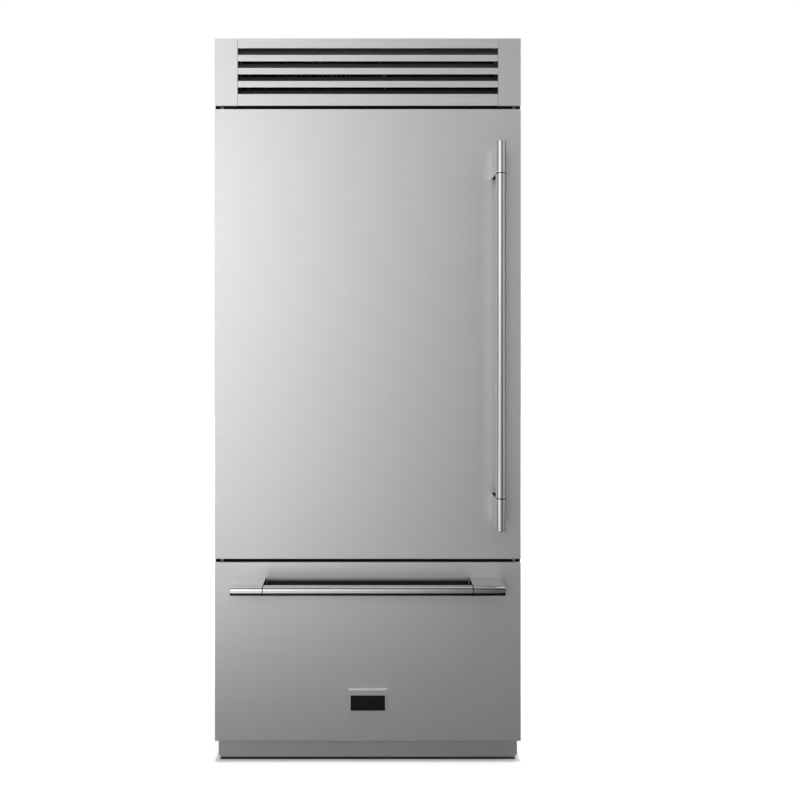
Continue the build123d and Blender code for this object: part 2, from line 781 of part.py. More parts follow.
# ================================================================== fridge interior
glass_half = cavity_half - 4.0
for number, level in enumerate(shelf_levels, start=1):
    with BuildPart() as shelf_glass:
        block(
            (-glass_half, glass_half),
            (shelf_front, shelf_back),
            (level, level + shelf_glass_thickness),
        )
    shelf_glass.part.label = f"shelf_glass_{number}"
    export_step(shelf_glass.part, f"parts/shelf_glass_{number}.step")

trim_half = cavity_half - ledge_depth - 2.0
trim_grip = 12.0
trim_lip = 3.0
with BuildPart() as shelf_trims:
    # channels along the front and back edges of each glass
    for level in shelf_levels:
        z = (level - trim_lip, level + shelf_glass_thickness + trim_lip)
        block((-trim_half, trim_half), (shelf_front - trim_lip, shelf_front + trim_grip), z)
        block((-trim_half, trim_half), (shelf_back - trim_grip, shelf_back + trim_lip), z)
    fillet(
        shelf_trims.edges().filter_by(Axis.X).group_by(Axis.Y)[0],
        2,
    )
    for level in shelf_levels:
        block(
            (-glass_half, glass_half),
            (shelf_front, shelf_back),
            (level, level + shelf_glass_thickness),
            Mode.SUBTRACT,
        )
shelf_trims.part.label = "shelf_trims"
export_step(shelf_trims.part, "parts/shelf_trims.step")

deck_thickness = 6.0
with BuildPart() as crisper_deck:
    # cover plate, and a separate central web whose feet run under the crispers' inner rims
    block(
        (-glass_half, glass_half),
        (shelf_front, shelf_back),
        (crisper_deck_level, crisper_deck_level + deck_thickness),
    )
    web_y = (crisper_front + 10, crisper_back)
    block((-divider / 2, divider / 2), web_y, (fridge_z[0], crisper_deck_level - fit_gap))
    runner_x = divider / 2 + runner_width
    block((-runner_x, runner_x), web_y, (runner_top - ledge_height, runner_top))
crisper_deck.part.label = "crisper_deck"
export_step(crisper_deck.part, "parts/crisper_deck.step")

crisper_floor = fridge_z[0] + 4.0
rim_x = (divider / 2 + 2.0, cavity_half - 2.0)
tub_x = (runner_x + 2.0, cavity_half - ledge_depth - 2.0)
rim_thickness = 3.0
for side, hand in ((-1, "left"), (1, "right")):
    rim = both_sides(*rim_x)[(side + 1) // 2]
    tub = both_sides(*tub_x)[(side + 1) // 2]
    with BuildPart() as crisper:
        # tub under a rim that slides on the runners, with a taller front and a pull recess
        pull_x = (tub[0] + tub[1]) / 2
        middle_y = (crisper_front + crisper_back) / 2
        length = crisper_back - crisper_front
        with BuildSketch(Plane.XY.offset(crisper_floor)):
            with Locations((pull_x, middle_y)):
                RectangleRounded(tub[1] - tub[0], length, crisper_corner)
        extrude(amount=crisper_top - crisper_floor)
        block(rim, (crisper_front, crisper_back), (crisper_top, crisper_top + rim_thickness))
        block(rim, (crisper_front, crisper_front + 6), (crisper_floor, crisper_top + 14))
        with BuildSketch(Plane.XY.offset(crisper_floor + crisper_wall)):
            with Locations((pull_x, middle_y + (6 - crisper_wall) / 2)):
                RectangleRounded(
                    tub[1] - tub[0] - 2 * crisper_wall,
                    length - 6 - crisper_wall,
                    crisper_corner - crisper_wall,
                )
        extrude(amount=crisper_top, mode=Mode.SUBTRACT)
        block(
            (pull_x - 70, pull_x + 70),
            (crisper_front - 1, crisper_front + 3),
            (crisper_top - 26, crisper_top - 4),
            Mode.SUBTRACT,
        )
    crisper.part.label = f"crisper_{hand}"
    export_step(crisper.part, f"parts/crisper_{hand}.step")

with BuildPart() as air_duct:
    # tower on the rear wall with a row of outlet slots
    duct_z = (crisper_deck_level + 60.0, fridge_z[1] - 30.0)
    block((-duct_width / 2, duct_width / 2), (cavity_back - duct_depth, cavity_back), duct_z)
    fillet(air_duct.edges().filter_by(Axis.Z).group_by(Axis.Y)[0], 10)
    slot_pitch = 170.0
    for row in range(5):
        slot_z = duct_z[0] + 80.0 + row * slot_pitch
        block(
            (-duct_width / 2 + 25, duct_width / 2 - 25),
            (cavity_back - duct_depth - 1, cavity_back - duct_depth / 2),
            (slot_z, slot_z + 10),
            Mode.SUBTRACT,
        )
air_duct.part.label = "air_duct"
export_step(air_duct.part, "parts/air_duct.step")

light_depth = 8.0
with BuildPart() as light_bars:
    for x in both_sides(cavity_half - light_depth, cavity_half):
        block(x, (frame_y[1] + 18, frame_y[1] + 34), (fridge_z[0] + 60, fridge_z[1] - 60))
    fillet(light_bars.edges().filter_by(Axis.Z).group_by(SortBy.LENGTH)[-1], 2)
light_bars.part.label = "light_bars"
export_step(light_bars.part, "parts/light_bars.step")

panel_half = 160.0
panel_depth = 75.0
panel_drop = 18.0
panel_y = (dyke_y[1] + 12.0, dyke_y[1] + 12.0 + panel_depth)
with BuildPart() as control_panel:
    block((-panel_half, panel_half), panel_y, (fridge_z[1] - panel_drop, fridge_z[1]))
    chamfer(control_panel.edges().group_by(Axis.Z)[0].sort_by(Axis.Y)[0], 10)
control_panel.part.label = "control_panel"
export_step(control_panel.part, "parts/control_panel.step")


# ================================================================== freezer interior
def coil(x, y, z, fin_count, bends):
    """A finned block between end plates, with return bends that stand out of both ends."""
    fin = 1.0
    plate = 1.5
    for plate_x in ((x[0], x[0] + plate), (x[1] - plate, x[1])):
        block(plate_x, y, z)
    for plate_z in ((z[0], z[0] + plate), (z[1] - plate, z[1])):
        block(x, y, plate_z)
    middle = ((x[0] + x[1]) / 2, (y[0] + y[1]) / 2, (z[0] + z[1]) / 2)
    with Locations(middle):
        with GridLocations((x[1] - x[0]) / (fin_count + 1), 1, fin_count, 1):
            Box(fin, y[1] - y[0], z[1] - z[0])
    tube = 4.0
    pitch = (z[1] - z[0]) / (2 * bends)
    for end, edge in ((-1, x[0]), (1, x[1])):
        for i in range(bends):
            centre_z = z[0] + pitch * (2 * i + 1)
            bend = Plane(origin=(edge, middle[1], centre_z), x_dir=(end, 0, 0), z_dir=(0, -end, 0))
            with BuildLine(bend) as path:
                CenterArc((0, 0), pitch / 2, -90, 180)
            with BuildSketch(Plane(path.line @ 0, z_dir=path.line % 0)) as bore:
                Circle(tube)
            sweep(bore.sketch, path=path.line)


coil_half = cavity_half - 90.0
coil_depth = 58.0
coil_z = (freezer_z[0] + 50.0, freezer_z[0] + 250.0)
with BuildPart() as evaporator:
    coil((-coil_half, coil_half), (cavity_back - coil_depth, cavity_back), coil_z, 24, 3)
evaporator.part.label = "evaporator"
export_step(evaporator.part, "parts/evaporator.step")

cover_sheet = 2.0
cover_half = cavity_half - fit_gap
cover_z = (freezer_z[0] + fit_gap, freezer_z[1] - fit_gap)
fan_throat = 55.0
with BuildPart() as evaporator_cover:
    # front plate with side and end walls, return slots below and a fan throat above
    block((-cover_half, cover_half), (cover_face, cover_face + 60), cover_z)
    block(
        (-cover_half + cover_sheet, cover_half - cover_sheet),
        (cover_face + cover_sheet, cover_face + 61),
        (cover_z[0] + cover_sheet, cover_z[1] - cover_sheet),
        Mode.SUBTRACT,
    )
    round_bar((0, cover_face + 10, fan_level), "y", fan_throat + 3, 20)
    round_bar((0, cover_face + 10, fan_level), "y", fan_throat, 60, Mode.SUBTRACT)
    with Locations((0, cover_face, cover_z[0] + 30)):
        with GridLocations(60, 1, 9, 1):
            Box(40, 10, 14, mode=Mode.SUBTRACT)
evaporator_cover.part.label = "evaporator_cover"
export_step(evaporator_cover.part, "parts/evaporator_cover.step")

# ------------------------------------------------------------------ fans
shaft_radius = 3.0
shroud_y = (frame_y[1] + 70.0, frame_y[1] + 73.0)
throat_length = 28.0
cond_fan_y = (shroud_y[0] + 5.0, shroud_y[0] + 21.0)
cond_fan_z = deck_top + condenser_height / 2
cond_motor_y = (cond_fan_y[1] + 8.0, cond_fan_y[1] + 48.0)
evap_fan_y = (cover_face + 5.0, cover_face + 19.0)
evap_motor_y = (evap_fan_y[1] + 8.0, cavity_back)
motor_radius = 26.0
shaft_reach = 12.0
with BuildPart() as fan_motors:
    # the condenser fan's motor stands on the deck, the evaporator fan's is on the rear wall
    cond_length = cond_motor_y[1] - cond_motor_y[0]
    cond_middle = (cond_motor_y[0] + cond_motor_y[1]) / 2
    round_bar((fan_x, cond_middle, cond_fan_z), "y", motor_radius, cond_length)
    block((fan_x - 15, fan_x + 15), cond_motor_y, (deck_top + 3, cond_fan_z))
    block(
        (fan_x - 35, fan_x + 35),
        (cond_motor_y[0] - 6, cond_motor_y[1] + 6),
        (deck_top, deck_top + 3),
    )
    evap_length = evap_motor_y[1] - evap_motor_y[0]
    evap_middle = (evap_motor_y[0] + evap_motor_y[1]) / 2
    round_bar((0, evap_middle, fan_level), "y", motor_radius - 4, evap_length)
    bore = shaft_radius + running_gap
    for x, y, z in ((fan_x, cond_motor_y[0], cond_fan_z), (0, evap_motor_y[0], fan_level)):
        round_bar((x, y, z), "y", bore, 2 * shaft_reach + 1, Mode.SUBTRACT)
fan_motors.part.label = "fan_motors"
export_step(fan_motors.part, "parts/fan_motors.step")


def fan_wheel(x, y, z, tip, hub):
    """A hub with five pitched blades, and the shaft that enters the motor."""
    depth = y[1] - y[0]
    middle = (y[0] + y[1]) / 2
    pitch_angle = 32.0
    chord = depth / math.sin(math.radians(pitch_angle)) * 0.8
    for i in range(5):
        turn = i * 72.0
        radial = Plane(
            origin=(x, middle, z),
            x_dir=(0, -1, 0),
            z_dir=(math.sin(math.radians(turn)), 0, math.cos(math.radians(turn))),
        )
        with BuildSketch(radial.offset(hub - 2)) as root:
            Rectangle(chord, 1.8, rotation=90 - pitch_angle)
        with BuildSketch(radial.offset(tip)) as end:
            Rectangle(chord * 0.92, 1.2, rotation=90 - pitch_angle - 14)
        loft([root.sketch, end.sketch])
    round_bar((x, middle, z), "y", hub, depth)
    reach = shaft_reach + 8.0
    round_bar((x, y[1] + reach / 2, z), "y", shaft_radius, reach)


with BuildPart() as condenser_fan_blades:
    fan_wheel(fan_x, cond_fan_y, cond_fan_z, fan_radius - 3, 18)
condenser_fan_blades.part.label = "condenser_fan_blades"
export_step(condenser_fan_blades.part, "parts/condenser_fan_blades.step")

with BuildPart() as evaporator_fan_blades:
    fan_wheel(0, evap_fan_y, fan_level, fan_throat - 5, 16)
evaporator_fan_blades.part.label = "evaporator_fan_blades"
export_step(evaporator_fan_blades.part, "parts/evaporator_fan_blades.step")

# ------------------------------------------------------------------ drawer slides and baskets
slide_y = (-slide_length / 2, slide_length / 2)
slide_gap = 0.8
slide_outer = (cavity_half - 13.0, cavity_half)
slide_middle = (slide_outer[0] + 1.0, slide_outer[1] - sheet - slide_gap)
slide_inner = (slide_outer[0] - 1.0, slide_middle[1] - sheet - slide_gap)


def slide_member(x, half_height, inward=1):
    """A C-shaped slide member on both sides; inward is -1 where it opens to the cavity wall."""
    for low, high in both_sides(*x):
        z = (slide_level - half_height, slide_level + half_height)
        block((low, high), slide_y, z)
    for side, (low, high) in zip((-1, 1), both_sides(*x)):
        z = (slide_level - half_height + sheet, slide_level + half_height - sheet)
        open_side = side * inward
        hollow = (low + sheet, high + 1) if open_side < 0 else (low - 1, high - sheet)
        block(hollow, (slide_y[0] - 1, slide_y[1] + 1), z, Mode.SUBTRACT)


with BuildPart() as slide_rails:
    slide_member(slide_outer, slide_height / 2)
slide_rails.part.label = "slide_rails"
export_step(slide_rails.part, "parts/slide_rails.step")

middle_half = slide_height / 2 - sheet - slide_gap / 2
with BuildPart() as slide_middle_members:
    slide_member(slide_middle, middle_half)
slide_middle_members.part.label = "slide_middle_members"
export_step(slide_middle_members.part, "parts/slide_middle_members.step")

inner_height = middle_half - sheet - slide_gap / 2
with BuildPart() as slide_inner_members:
    slide_member(slide_inner, inner_height, inward=-1)
slide_inner_members.part.label = "slide_inner_members"
export_step(slide_inner_members.part, "parts/slide_inner_members.step")

carrier_x = (slide_inner[0] - sheet, slide_inner[0])
carrier_z = (slide_level - 25.0, slide_level + 25.0)
basket_half = cavity_half - basket_clearance
shelf_x = basket_half + 2.0
liner_face = pan_back + liner_wall
with BuildPart() as drawer_carrier:
    # side plates from the drawer front to a rear cross bar, flanged inwards under the basket's rib
    for x in both_sides(*carrier_x):
        block(x, (liner_face, slide_y[1]), carrier_z)
    for x in both_sides(shelf_x, carrier_x[1]):
        block(x, (liner_face, slide_y[1]), (carrier_z[1] - sheet, carrier_z[1]))
    for x in both_sides(field_half + 2, carrier_x[1]):
        block(x, (liner_face, liner_face + sheet), (carrier_z[0] - 60, carrier_z[1] + 60))
    block(
        (-carrier_x[1], carrier_x[1]),
        (slide_y[1], slide_y[1] + sheet),
        (carrier_z[0] + 10, carrier_z[1]),
    )
drawer_carrier.part.label = "drawer_carrier"
export_step(drawer_carrier.part, "parts/drawer_carrier.step")

basket_y = (slide_y[0], slide_y[0] + basket_length)
rib = 9.0
with BuildPart() as basket_room:
    # the hollow of the basket, cut from it
    inner = basket_half - basket_wall
    with BuildSketch(Plane.XY.offset(basket_bottom + basket_wall)):
        with Locations((0, (basket_y[0] + basket_y[1]) / 2)):
            RectangleRounded(
                2 * inner, basket_length - 2 * basket_wall, basket_corner - basket_wall
            )
    extrude(amount=basket_top)
    fillet(basket_room.edges().group_by(Axis.Z)[0], basket_edge - basket_wall)

with BuildPart() as freezer_basket:
    block((-basket_half, basket_half), basket_y, (basket_bottom, basket_top))
    fillet(freezer_basket.edges().filter_by(Axis.Z), basket_corner)
    fillet(freezer_basket.edges().group_by(Axis.Z)[0], basket_edge)
    for x in both_sides(basket_half - basket_wall, basket_half + rib):
        block(x, (basket_y[0] + 30, basket_y[1] - 30), (carrier_z[1], carrier_z[1] + 5))
    add(basket_room.part, mode=Mode.SUBTRACT)
freezer_basket.part.label = "freezer_basket"
export_step(freezer_basket.part, "parts/freezer_basket.step")

tray_bottom = basket_top + fit_gap
tray_x = basket_half - tray_inset
tray_y = (basket_y[0] + 5, basket_y[0] + 5 + tray_length)
with BuildPart() as freezer_tray:
    # shallow tub whose side rims slide on the basket's rim
    block((-tray_x, tray_x), tray_y, (tray_bottom, tray_bottom + tray_height))
    fillet(freezer_tray.edges().filter_by(Axis.Z), tray_corner)
    for x in both_sides(tray_x - basket_wall, basket_half):
        block(x, (tray_y[0] + 25, tray_y[1] - 25), (tray_bottom, tray_bottom + basket_wall))
    with BuildSketch(Plane.XY.offset(tray_bottom + basket_wall)):
        with Locations((0, (tray_y[0] + tray_y[1]) / 2)):
            RectangleRounded(
                2 * (tray_x - basket_wall), tray_length - 2 * basket_wall, tray_corner - basket_wall
            )
    extrude(amount=tray_height, mode=Mode.SUBTRACT)
freezer_tray.part.label = "freezer_tray"
export_step(freezer_tray.part, "parts/freezer_tray.step")

# ================================================================== machine compartment
condenser_y = (frame_y[1] + 12.0, frame_y[1] + 62.0)
condenser_z = (deck_top, deck_top + condenser_height)
condenser_x = (fan_x - shroud_half - 60.0, fan_x + shroud_half + 80.0)
with BuildPart() as condenser:
    coil(condenser_x, condenser_y, condenser_z, 28, 3)
condenser.part.label = "condenser"
export_step(condenser.part, "parts/condenser.step")

with BuildPart() as condenser_fan_shroud:
    block((fan_x - shroud_half, fan_x + shroud_half), shroud_y, condenser_z)
    throat_middle = shroud_y[0] + throat_length / 2
    round_bar((fan_x, throat_middle, cond_fan_z), "y", fan_radius + 2.5, throat_length)
    round_bar((fan_x, throat_middle, cond_fan_z), "y", fan_radius, 4 * throat_length, Mode.SUBTRACT)
condenser_fan_shroud.part.label = "condenser_fan_shroud"
export_step(condenser_fan_shroud.part, "parts/condenser_fan_shroud.step")

seam_height = 4.0
with BuildPart() as compressor:
    # two drawn half shells on a foot plate with four rubber feet
    with BuildSketch(Plane.XY.offset(deck_top + can_lift)):
        with Locations((compressor_x, compressor_y)):
            Ellipse(*can_half)
    extrude(amount=compressor_height)
    ends = compressor.edges().group_by(Axis.Z)
    fillet([*ends[0], *ends[-1]], can_round)
    seam_level = deck_top + can_lift + (compressor_height - seam_height) / 2
    with BuildSketch(Plane.XY.offset(seam_level)):
        with Locations((compressor_x, compressor_y)):
            Ellipse(can_half[0] + seam_lip, can_half[1] + seam_lip)
    extrude(amount=seam_height)
    foot_z = (deck_top + can_lift - 2, deck_top + can_lift + 1)
    plate_reach_x = (compressor_x - plate_half[0], compressor_x + plate_half[0])
    plate_reach_y = (compressor_y - plate_half[1], compressor_y + plate_half[1])
    block(plate_reach_x, plate_reach_y, foot_z)
    for foot_x in (-foot_offset[0], foot_offset[0]):
        for foot_y in (-foot_offset[1], foot_offset[1]):
            centre = (compressor_x + foot_x, compressor_y + foot_y, deck_top + (can_lift - 2) / 2)
            round_bar(centre, "z", 12, can_lift - 2)
    round_bar((compressor_x - can_half[0] + 6, compressor_y, deck_top + 60), "x", 5, 50)
compressor.part.label = "compressor"
export_step(compressor.part, "parts/compressor.step")

box_x = (compressor_x, compressor_x + box_width)
box_y = (frame_y[1] + 12.0, frame_y[1] + 12.0 + box_depth)
box_z = (deck_top, deck_top + box_height)
rocker_x = (box_x[0] + box_x[1]) / 2
rocker_z = box_z[0] + 60.0
rocker_axis_y = box_y[0] + 8.0
rocker_half = 9.0
rocker_pin = 1.5
with BuildPart() as control_box:
    block(box_x, box_y, box_z)
    fillet(control_box.edges().filter_by(Axis.Z), 4)
    block(
        (rocker_x - rocker_half - 0.5, rocker_x + rocker_half + 0.5),
        (box_y[0] - 1, box_y[0] + 22),
        (rocker_z - 14, rocker_z + 14),
        Mode.SUBTRACT,
    )
    round_bar(
        (rocker_x, rocker_axis_y, rocker_z),
        "x",
        rocker_pin + running_gap,
        2 * rocker_half + 7,
        Mode.SUBTRACT,
    )
control_box.part.label = "control_box"
export_step(control_box.part, "parts/control_box.step")

rocker_tilt = 7.0
with BuildPart() as power_rocker:
    # a shallow V in front and a round back, resting with its lower half pressed in
    rocker_plane = Plane(
        origin=(rocker_x - rocker_half, rocker_axis_y, rocker_z),
        x_dir=(0, math.cos(math.radians(rocker_tilt)), math.sin(math.radians(rocker_tilt))),
        z_dir=(1, 0, 0),
    )
    with BuildSketch(rocker_plane):
        with BuildLine():
            Polyline((0, 12), (-9, 12), (-7, 0), (-9, -12), (0, -12))
            ThreePointArc((0, -12), (10, 0), (0, 12))
        make_face()
    extrude(amount=2 * rocker_half)
    round_bar((rocker_x, rocker_axis_y, rocker_z), "x", rocker_pin, 2 * rocker_half + 6)
power_rocker.part.label = "power_rocker"
export_step(power_rocker.part, "parts/power_rocker.step")
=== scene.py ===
"""Looks of the built-in bottom freezer refrigerator: finishes, seals, screws, pipes and the studio.

Metres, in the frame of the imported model: X to the right, the doors face -Y, Z up, floor at Z = 0.
"""

import json
import math

import bmesh
import bpy
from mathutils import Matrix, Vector


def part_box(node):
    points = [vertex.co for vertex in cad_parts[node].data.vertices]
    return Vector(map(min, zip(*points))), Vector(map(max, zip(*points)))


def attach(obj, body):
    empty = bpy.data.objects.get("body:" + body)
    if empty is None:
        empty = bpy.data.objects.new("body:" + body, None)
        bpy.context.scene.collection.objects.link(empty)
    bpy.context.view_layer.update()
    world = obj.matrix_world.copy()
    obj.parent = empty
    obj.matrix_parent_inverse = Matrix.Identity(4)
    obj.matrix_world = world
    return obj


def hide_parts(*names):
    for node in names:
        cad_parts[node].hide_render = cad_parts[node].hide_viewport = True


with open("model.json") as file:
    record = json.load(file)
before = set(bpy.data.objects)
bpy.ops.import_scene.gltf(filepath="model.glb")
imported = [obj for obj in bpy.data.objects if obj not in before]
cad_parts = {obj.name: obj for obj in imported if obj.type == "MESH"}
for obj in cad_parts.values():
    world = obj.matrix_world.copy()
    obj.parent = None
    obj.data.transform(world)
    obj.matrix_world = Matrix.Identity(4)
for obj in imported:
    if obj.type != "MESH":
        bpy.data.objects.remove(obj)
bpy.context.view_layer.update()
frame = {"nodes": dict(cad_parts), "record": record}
NODES = frame["nodes"]
SLOT_OF = {part["node"]: part["material_slot"] for part in frame["record"]["subparts"]}
MM = 0.001
TAU = 2 * math.pi
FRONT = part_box("door_skin")[0].y


# ---------------- finishes: shader maths
class Wire:
    """A node's output. Sums, products and the like on wires add Math nodes."""

    def __init__(self, finish, socket):
        self.finish = finish
        self.socket = socket

    def _math(self, operation, a, b):
        return self.finish.node("ShaderNodeMath", {"operation": operation}, {0: a, 1: b})

    def __add__(self, other):
        return self._math("ADD", self, other)

    __radd__ = __add__

    def __sub__(self, other):
        return self._math("SUBTRACT", self, other)

    def __rsub__(self, other):
        return self._math("SUBTRACT", other, self)

    def __mul__(self, other):
        return self._math("MULTIPLY", self, other)

    __rmul__ = __mul__

    def __truediv__(self, other):
        return self._math("DIVIDE", self, other)

    def wave(self):
        """Its sine."""
        return self.finish.node("ShaderNodeMath", {"operation": "SINE"}, {0: self})

    def size(self):
        """Its absolute value."""
        return self.finish.node("ShaderNodeMath", {"operation": "ABSOLUTE"}, {0: self})

    def most(self, other):
        """The greater of the two."""
        return self._math("MAXIMUM", self, other)


def opaque(colour):
    """A plain colour with its alpha; a wire as it is."""
    return (*colour, 1.0) if isinstance(colour, tuple) else colour


class Finish:
    """A material, or a world, that is built up from nodes."""

    def __init__(self, name, kind="materials"):
        self.data = getattr(bpy.data, kind).new(name)
        self.data.use_nodes = True
        self.tree = self.data.node_tree
        self.tree.nodes.clear()

    def node(self, kind, settings=None, inputs=None, output=0):
        """Adds a node: its settings first, then values or wires for its inputs."""
        made = self.tree.nodes.new(kind)
        for key, value in (settings or {}).items():
            if key == "stops":
                ramp = made.color_ramp.elements
                for i, (where, level) in enumerate(value):
                    stop = ramp[i] if i < 2 else ramp.new(where)
                    stop.position = where
                    stop.color = (level, level, level, 1.0)
            else:
                setattr(made, key, value)
        for key, value in (inputs or {}).items():
            if isinstance(value, Wire):
                self.tree.links.new(value.socket, made.inputs[key])
            else:
                made.inputs[key].default_value = value
        return Wire(self, made.outputs[output]) if len(made.outputs) else None

    def place(self):
        """Where a point is on the whole refrigerator at rest."""
        return self.node("ShaderNodeTexCoord", output="Object")

    def axes(self):
        """The same as three wires, X, Y and Z."""
        split = self.node("ShaderNodeSeparateXYZ", inputs={0: self.place()}).socket.node
        return [Wire(self, out) for out in split.outputs]

    def stretched(self, x, y, z):
        """Its place, drawn out so that patterns repeat so many times a metre along each axis."""
        return self.node(
            "ShaderNodeVectorMath", {"operation": "MULTIPLY"}, {0: self.place(), 1: (x, y, z)}
        )

    def noise(self, x, y=None, z=None, detail=2.0, rough=0.5):
        """Soft noise about 0.5 with so many features a metre along each axis, or along all."""
        y = x if y is None else y
        z = x if z is None else z
        inputs = {"Vector": self.stretched(x, y, z), "Scale": 1.0}
        inputs.update({"Detail": detail, "Roughness": rough})
        return self.node("ShaderNodeTexNoise", inputs=inputs)

    def cells(self, scale, output="Distance"):
        """Crystal-like cells, so many a metre."""
        inputs = {"Vector": self.stretched(scale, scale, scale), "Scale": 1.0}
        return self.node("ShaderNodeTexVoronoi", inputs=inputs, output=output)

    def spread(self, value, low, high, to_low=0.0, to_high=1.0):
        """Value drawn out from one range to another, held at both ends."""
        limits = {0: value, 1: low, 2: high, 3: to_low, 4: to_high}
        return self.node("ShaderNodeMapRange", {"clamp": True}, limits)

    def tint(self, share, a, b):
        """Colour a with a share of colour b."""
        inputs = {0: share, 6: opaque(a), 7: opaque(b)}
        return self.node("ShaderNodeMix", {"data_type": "RGBA"}, inputs, output=2)

    def relief(self, height, depth, strength=1.0):
        """A bump that many metres deep where height is 1."""
        inputs = {"Height": height, "Distance": depth, "Strength": strength}
        return self.node("ShaderNodeBump", inputs=inputs)

    def skin(self, colour, roughness, relief=None, **constants):
        """The surface itself. Constants are named as the shader's inputs, with _ for a space."""
        inputs = {"Base Color": opaque(colour), "Roughness": roughness}
        if relief is not None:
            inputs["Normal"] = relief
        for key, value in constants.items():
            inputs[key.replace("_", " ")] = value
        return self.outside(self.node("ShaderNodeBsdfPrincipled", inputs=inputs))

    def glow(self, colour, strength):
        """Light of its own."""
        inputs = {"Color": opaque(colour), "Strength": strength}
        return self.node("ShaderNodeEmission", inputs=inputs)

    def outside(self, surface, output="ShaderNodeOutputMaterial"):
        """Ends the nodes with a surface, and gives back what they belong to."""
        self.node(output, inputs={"Surface": surface})
        return self.data


# ---------------- finishes of this refrigerator
def grained(name, scale, low, high, rough, dulling, relief, detail=2.0, **constants):
    """A finish whose colour, gloss and relief all follow one fine grain."""
    f = Finish(name)
    grain = f.noise(scale, detail=detail)
    colour = f.tint(grain, low, high)
    return f.skin(colour, rough + dulling * grain, f.relief(grain, *relief), **constants)


STEEL_TONE = 0.80
BRUSHED = {  # the shader's constants for sheet that is brushed along X
    "Metallic": 0.72,
    "Specular_IOR_Level": 0.2,
    "Anisotropic": 0.3,
    "Anisotropic_Rotation": 0.25,
}


def brushed_sheet(name, painted_shadow=None):
    """Stainless steel sheet brushed along X.

    With painted_shadow, a painted shadow darkens a level band: painted_shadow is its height, half
    height and half length.
    """
    f = Finish(name)
    hair = f.noise(20, 1600, 1600, detail=3.0, rough=0.7)
    drawn = f.noise(5, 400, 400)
    cloud = f.noise(2.2, 2.2, 3.0, detail=3.0)
    light = f.spread(drawn, 0.25, 0.75) * 0.5 + f.spread(hair, 0.3, 0.7) * 0.5
    low = tuple(STEEL_TONE * c for c in (0.97, 0.971, 0.973))
    high = tuple(STEEL_TONE * c for c in (1.03, 1.03, 1.028))
    colour = f.tint(light, low, high)
    if painted_shadow:
        x, _, z = f.axes()
        level, half_height, half_length = painted_shadow
        # painted shadow: a near-black band along the bar, faded at its edges and ending at the
        # posts
        shadow_band = f.spread((z - level).size(), 0.4 * half_height, half_height, 1.0, 0.0)
        shadow_reach = f.spread(x.size(), half_length - 4 * MM, half_length, 1.0, 0.0)
        colour = f.tint(shadow_band * shadow_reach, colour, (0.03, 0.03, 0.03))
    rough = 0.45 + 0.06 * hair + 0.06 * cloud
    return f.skin(colour, rough, f.relief(light, 0.00001, 0.35), **BRUSHED)


def louvre_steel():
    """The same sheet on the louvres; its flanges behind the openings are near black, as painted
    shade, and a little lighter on the upper louvres, as painted light.
    """
    f = Finish("louvre_steel")
    _, y, z = f.axes()
    drawn = f.noise(5, 400, 400)
    # painted shade: behind the front face the sheet is near black, lighter higher up
    behind = f.spread(y, FRONT + 0.1 * MM, FRONT + 0.5 * MM)
    upper = f.spread(z, 2.03, 2.12)
    light = f.spread(drawn, 0.25, 0.75)
    steel = f.tint(light, (0.785, 0.785, 0.787), (0.84, 0.84, 0.838))
    dark = f.tint(upper, (0.045, 0.045, 0.046), (0.11, 0.11, 0.111))
    colour = f.tint(behind, steel, dark)
    rough = 0.53 + 0.04 * drawn + 0.1 * behind
    return f.skin(colour, rough, f.relief(drawn, 0.00001, 0.35), **BRUSHED)


def polished_bar(name, along, tone, polish):
    """Handle steel, ground along the bar and buffed."""
    f = Finish(name)
    stretch = {"x": (9, 1500, 1500), "z": (1500, 1500, 9)}[along]
    drawn = f.noise(*stretch, detail=3.0, rough=0.6)
    smear = f.noise(14, detail=3.0)
    light = f.spread(drawn, 0.3, 0.7)
    colour = f.tint(light, (tone * 0.9,) * 3, (tone,) * 3)
    rough = polish + 0.05 * light + 0.05 * smear
    return f.skin(colour, rough, f.relief(light, 0.000004, 0.3), Metallic=1.0)


def badge_enamel():
    """Near-black enamel with a faint grain, left bare."""
    low, high = (0.012, 0.012, 0.013), (0.02, 0.02, 0.021)
    return grained("badge_enamel", 900, low, high, 0.22, 0.08, (0.00002, 0.3), Coat_Weight=0.4)


def cabinet_paint():
    """Grey powder paint with a fine orange peel."""
    f = Finish("cabinet_paint")
    peel = f.noise(420)
    dust = f.noise(3, detail=4.0)
    colour = f.tint(f.spread(dust, 0.3, 0.7), (0.30, 0.302, 0.305), (0.335, 0.337, 0.34))
    return f.skin(colour, 0.42 + 0.08 * peel, f.relief(peel, 0.00012, 0.5))


def zinc_sheet():
    """Galvanised sheet with its spangle."""
    f = Finish("zinc_sheet")
    flakes = f.cells(70, output="Color")
    edges = f.cells(70)
    grey = f.node("ShaderNodeRGBToBW", inputs={0: flakes})
    colour = f.tint(grey, (0.50, 0.52, 0.53), (0.68, 0.69, 0.70))
    return f.skin(colour, 0.34 + 0.16 * grey, f.relief(edges, 0.00004, 0.3), Metallic=1.0)


def zinc_plate():
    """Bright zinc plating on hinges, slides and feet, slightly cloudy."""
    f = Finish("zinc_plate")
    cloud = f.noise(60, detail=4.0)
    grain = f.noise(900)
    colour = f.tint(f.spread(cloud, 0.3, 0.7), (0.60, 0.61, 0.60), (0.74, 0.735, 0.70))
    return f.skin(colour, 0.26 + 0.14 * cloud, f.relief(grain, 0.00003, 0.4), Metallic=1.0)


def foam():
    """Rigid polyurethane foam."""
    f = Finish("foam")
    bubbles = f.cells(600)
    cloud = f.noise(20)
    colour = f.tint(cloud, (0.72, 0.61, 0.36), (0.80, 0.71, 0.47))
    return f.skin(colour, 0.8 + 0.1 * cloud, f.relief(bubbles, 0.0004, 0.8))


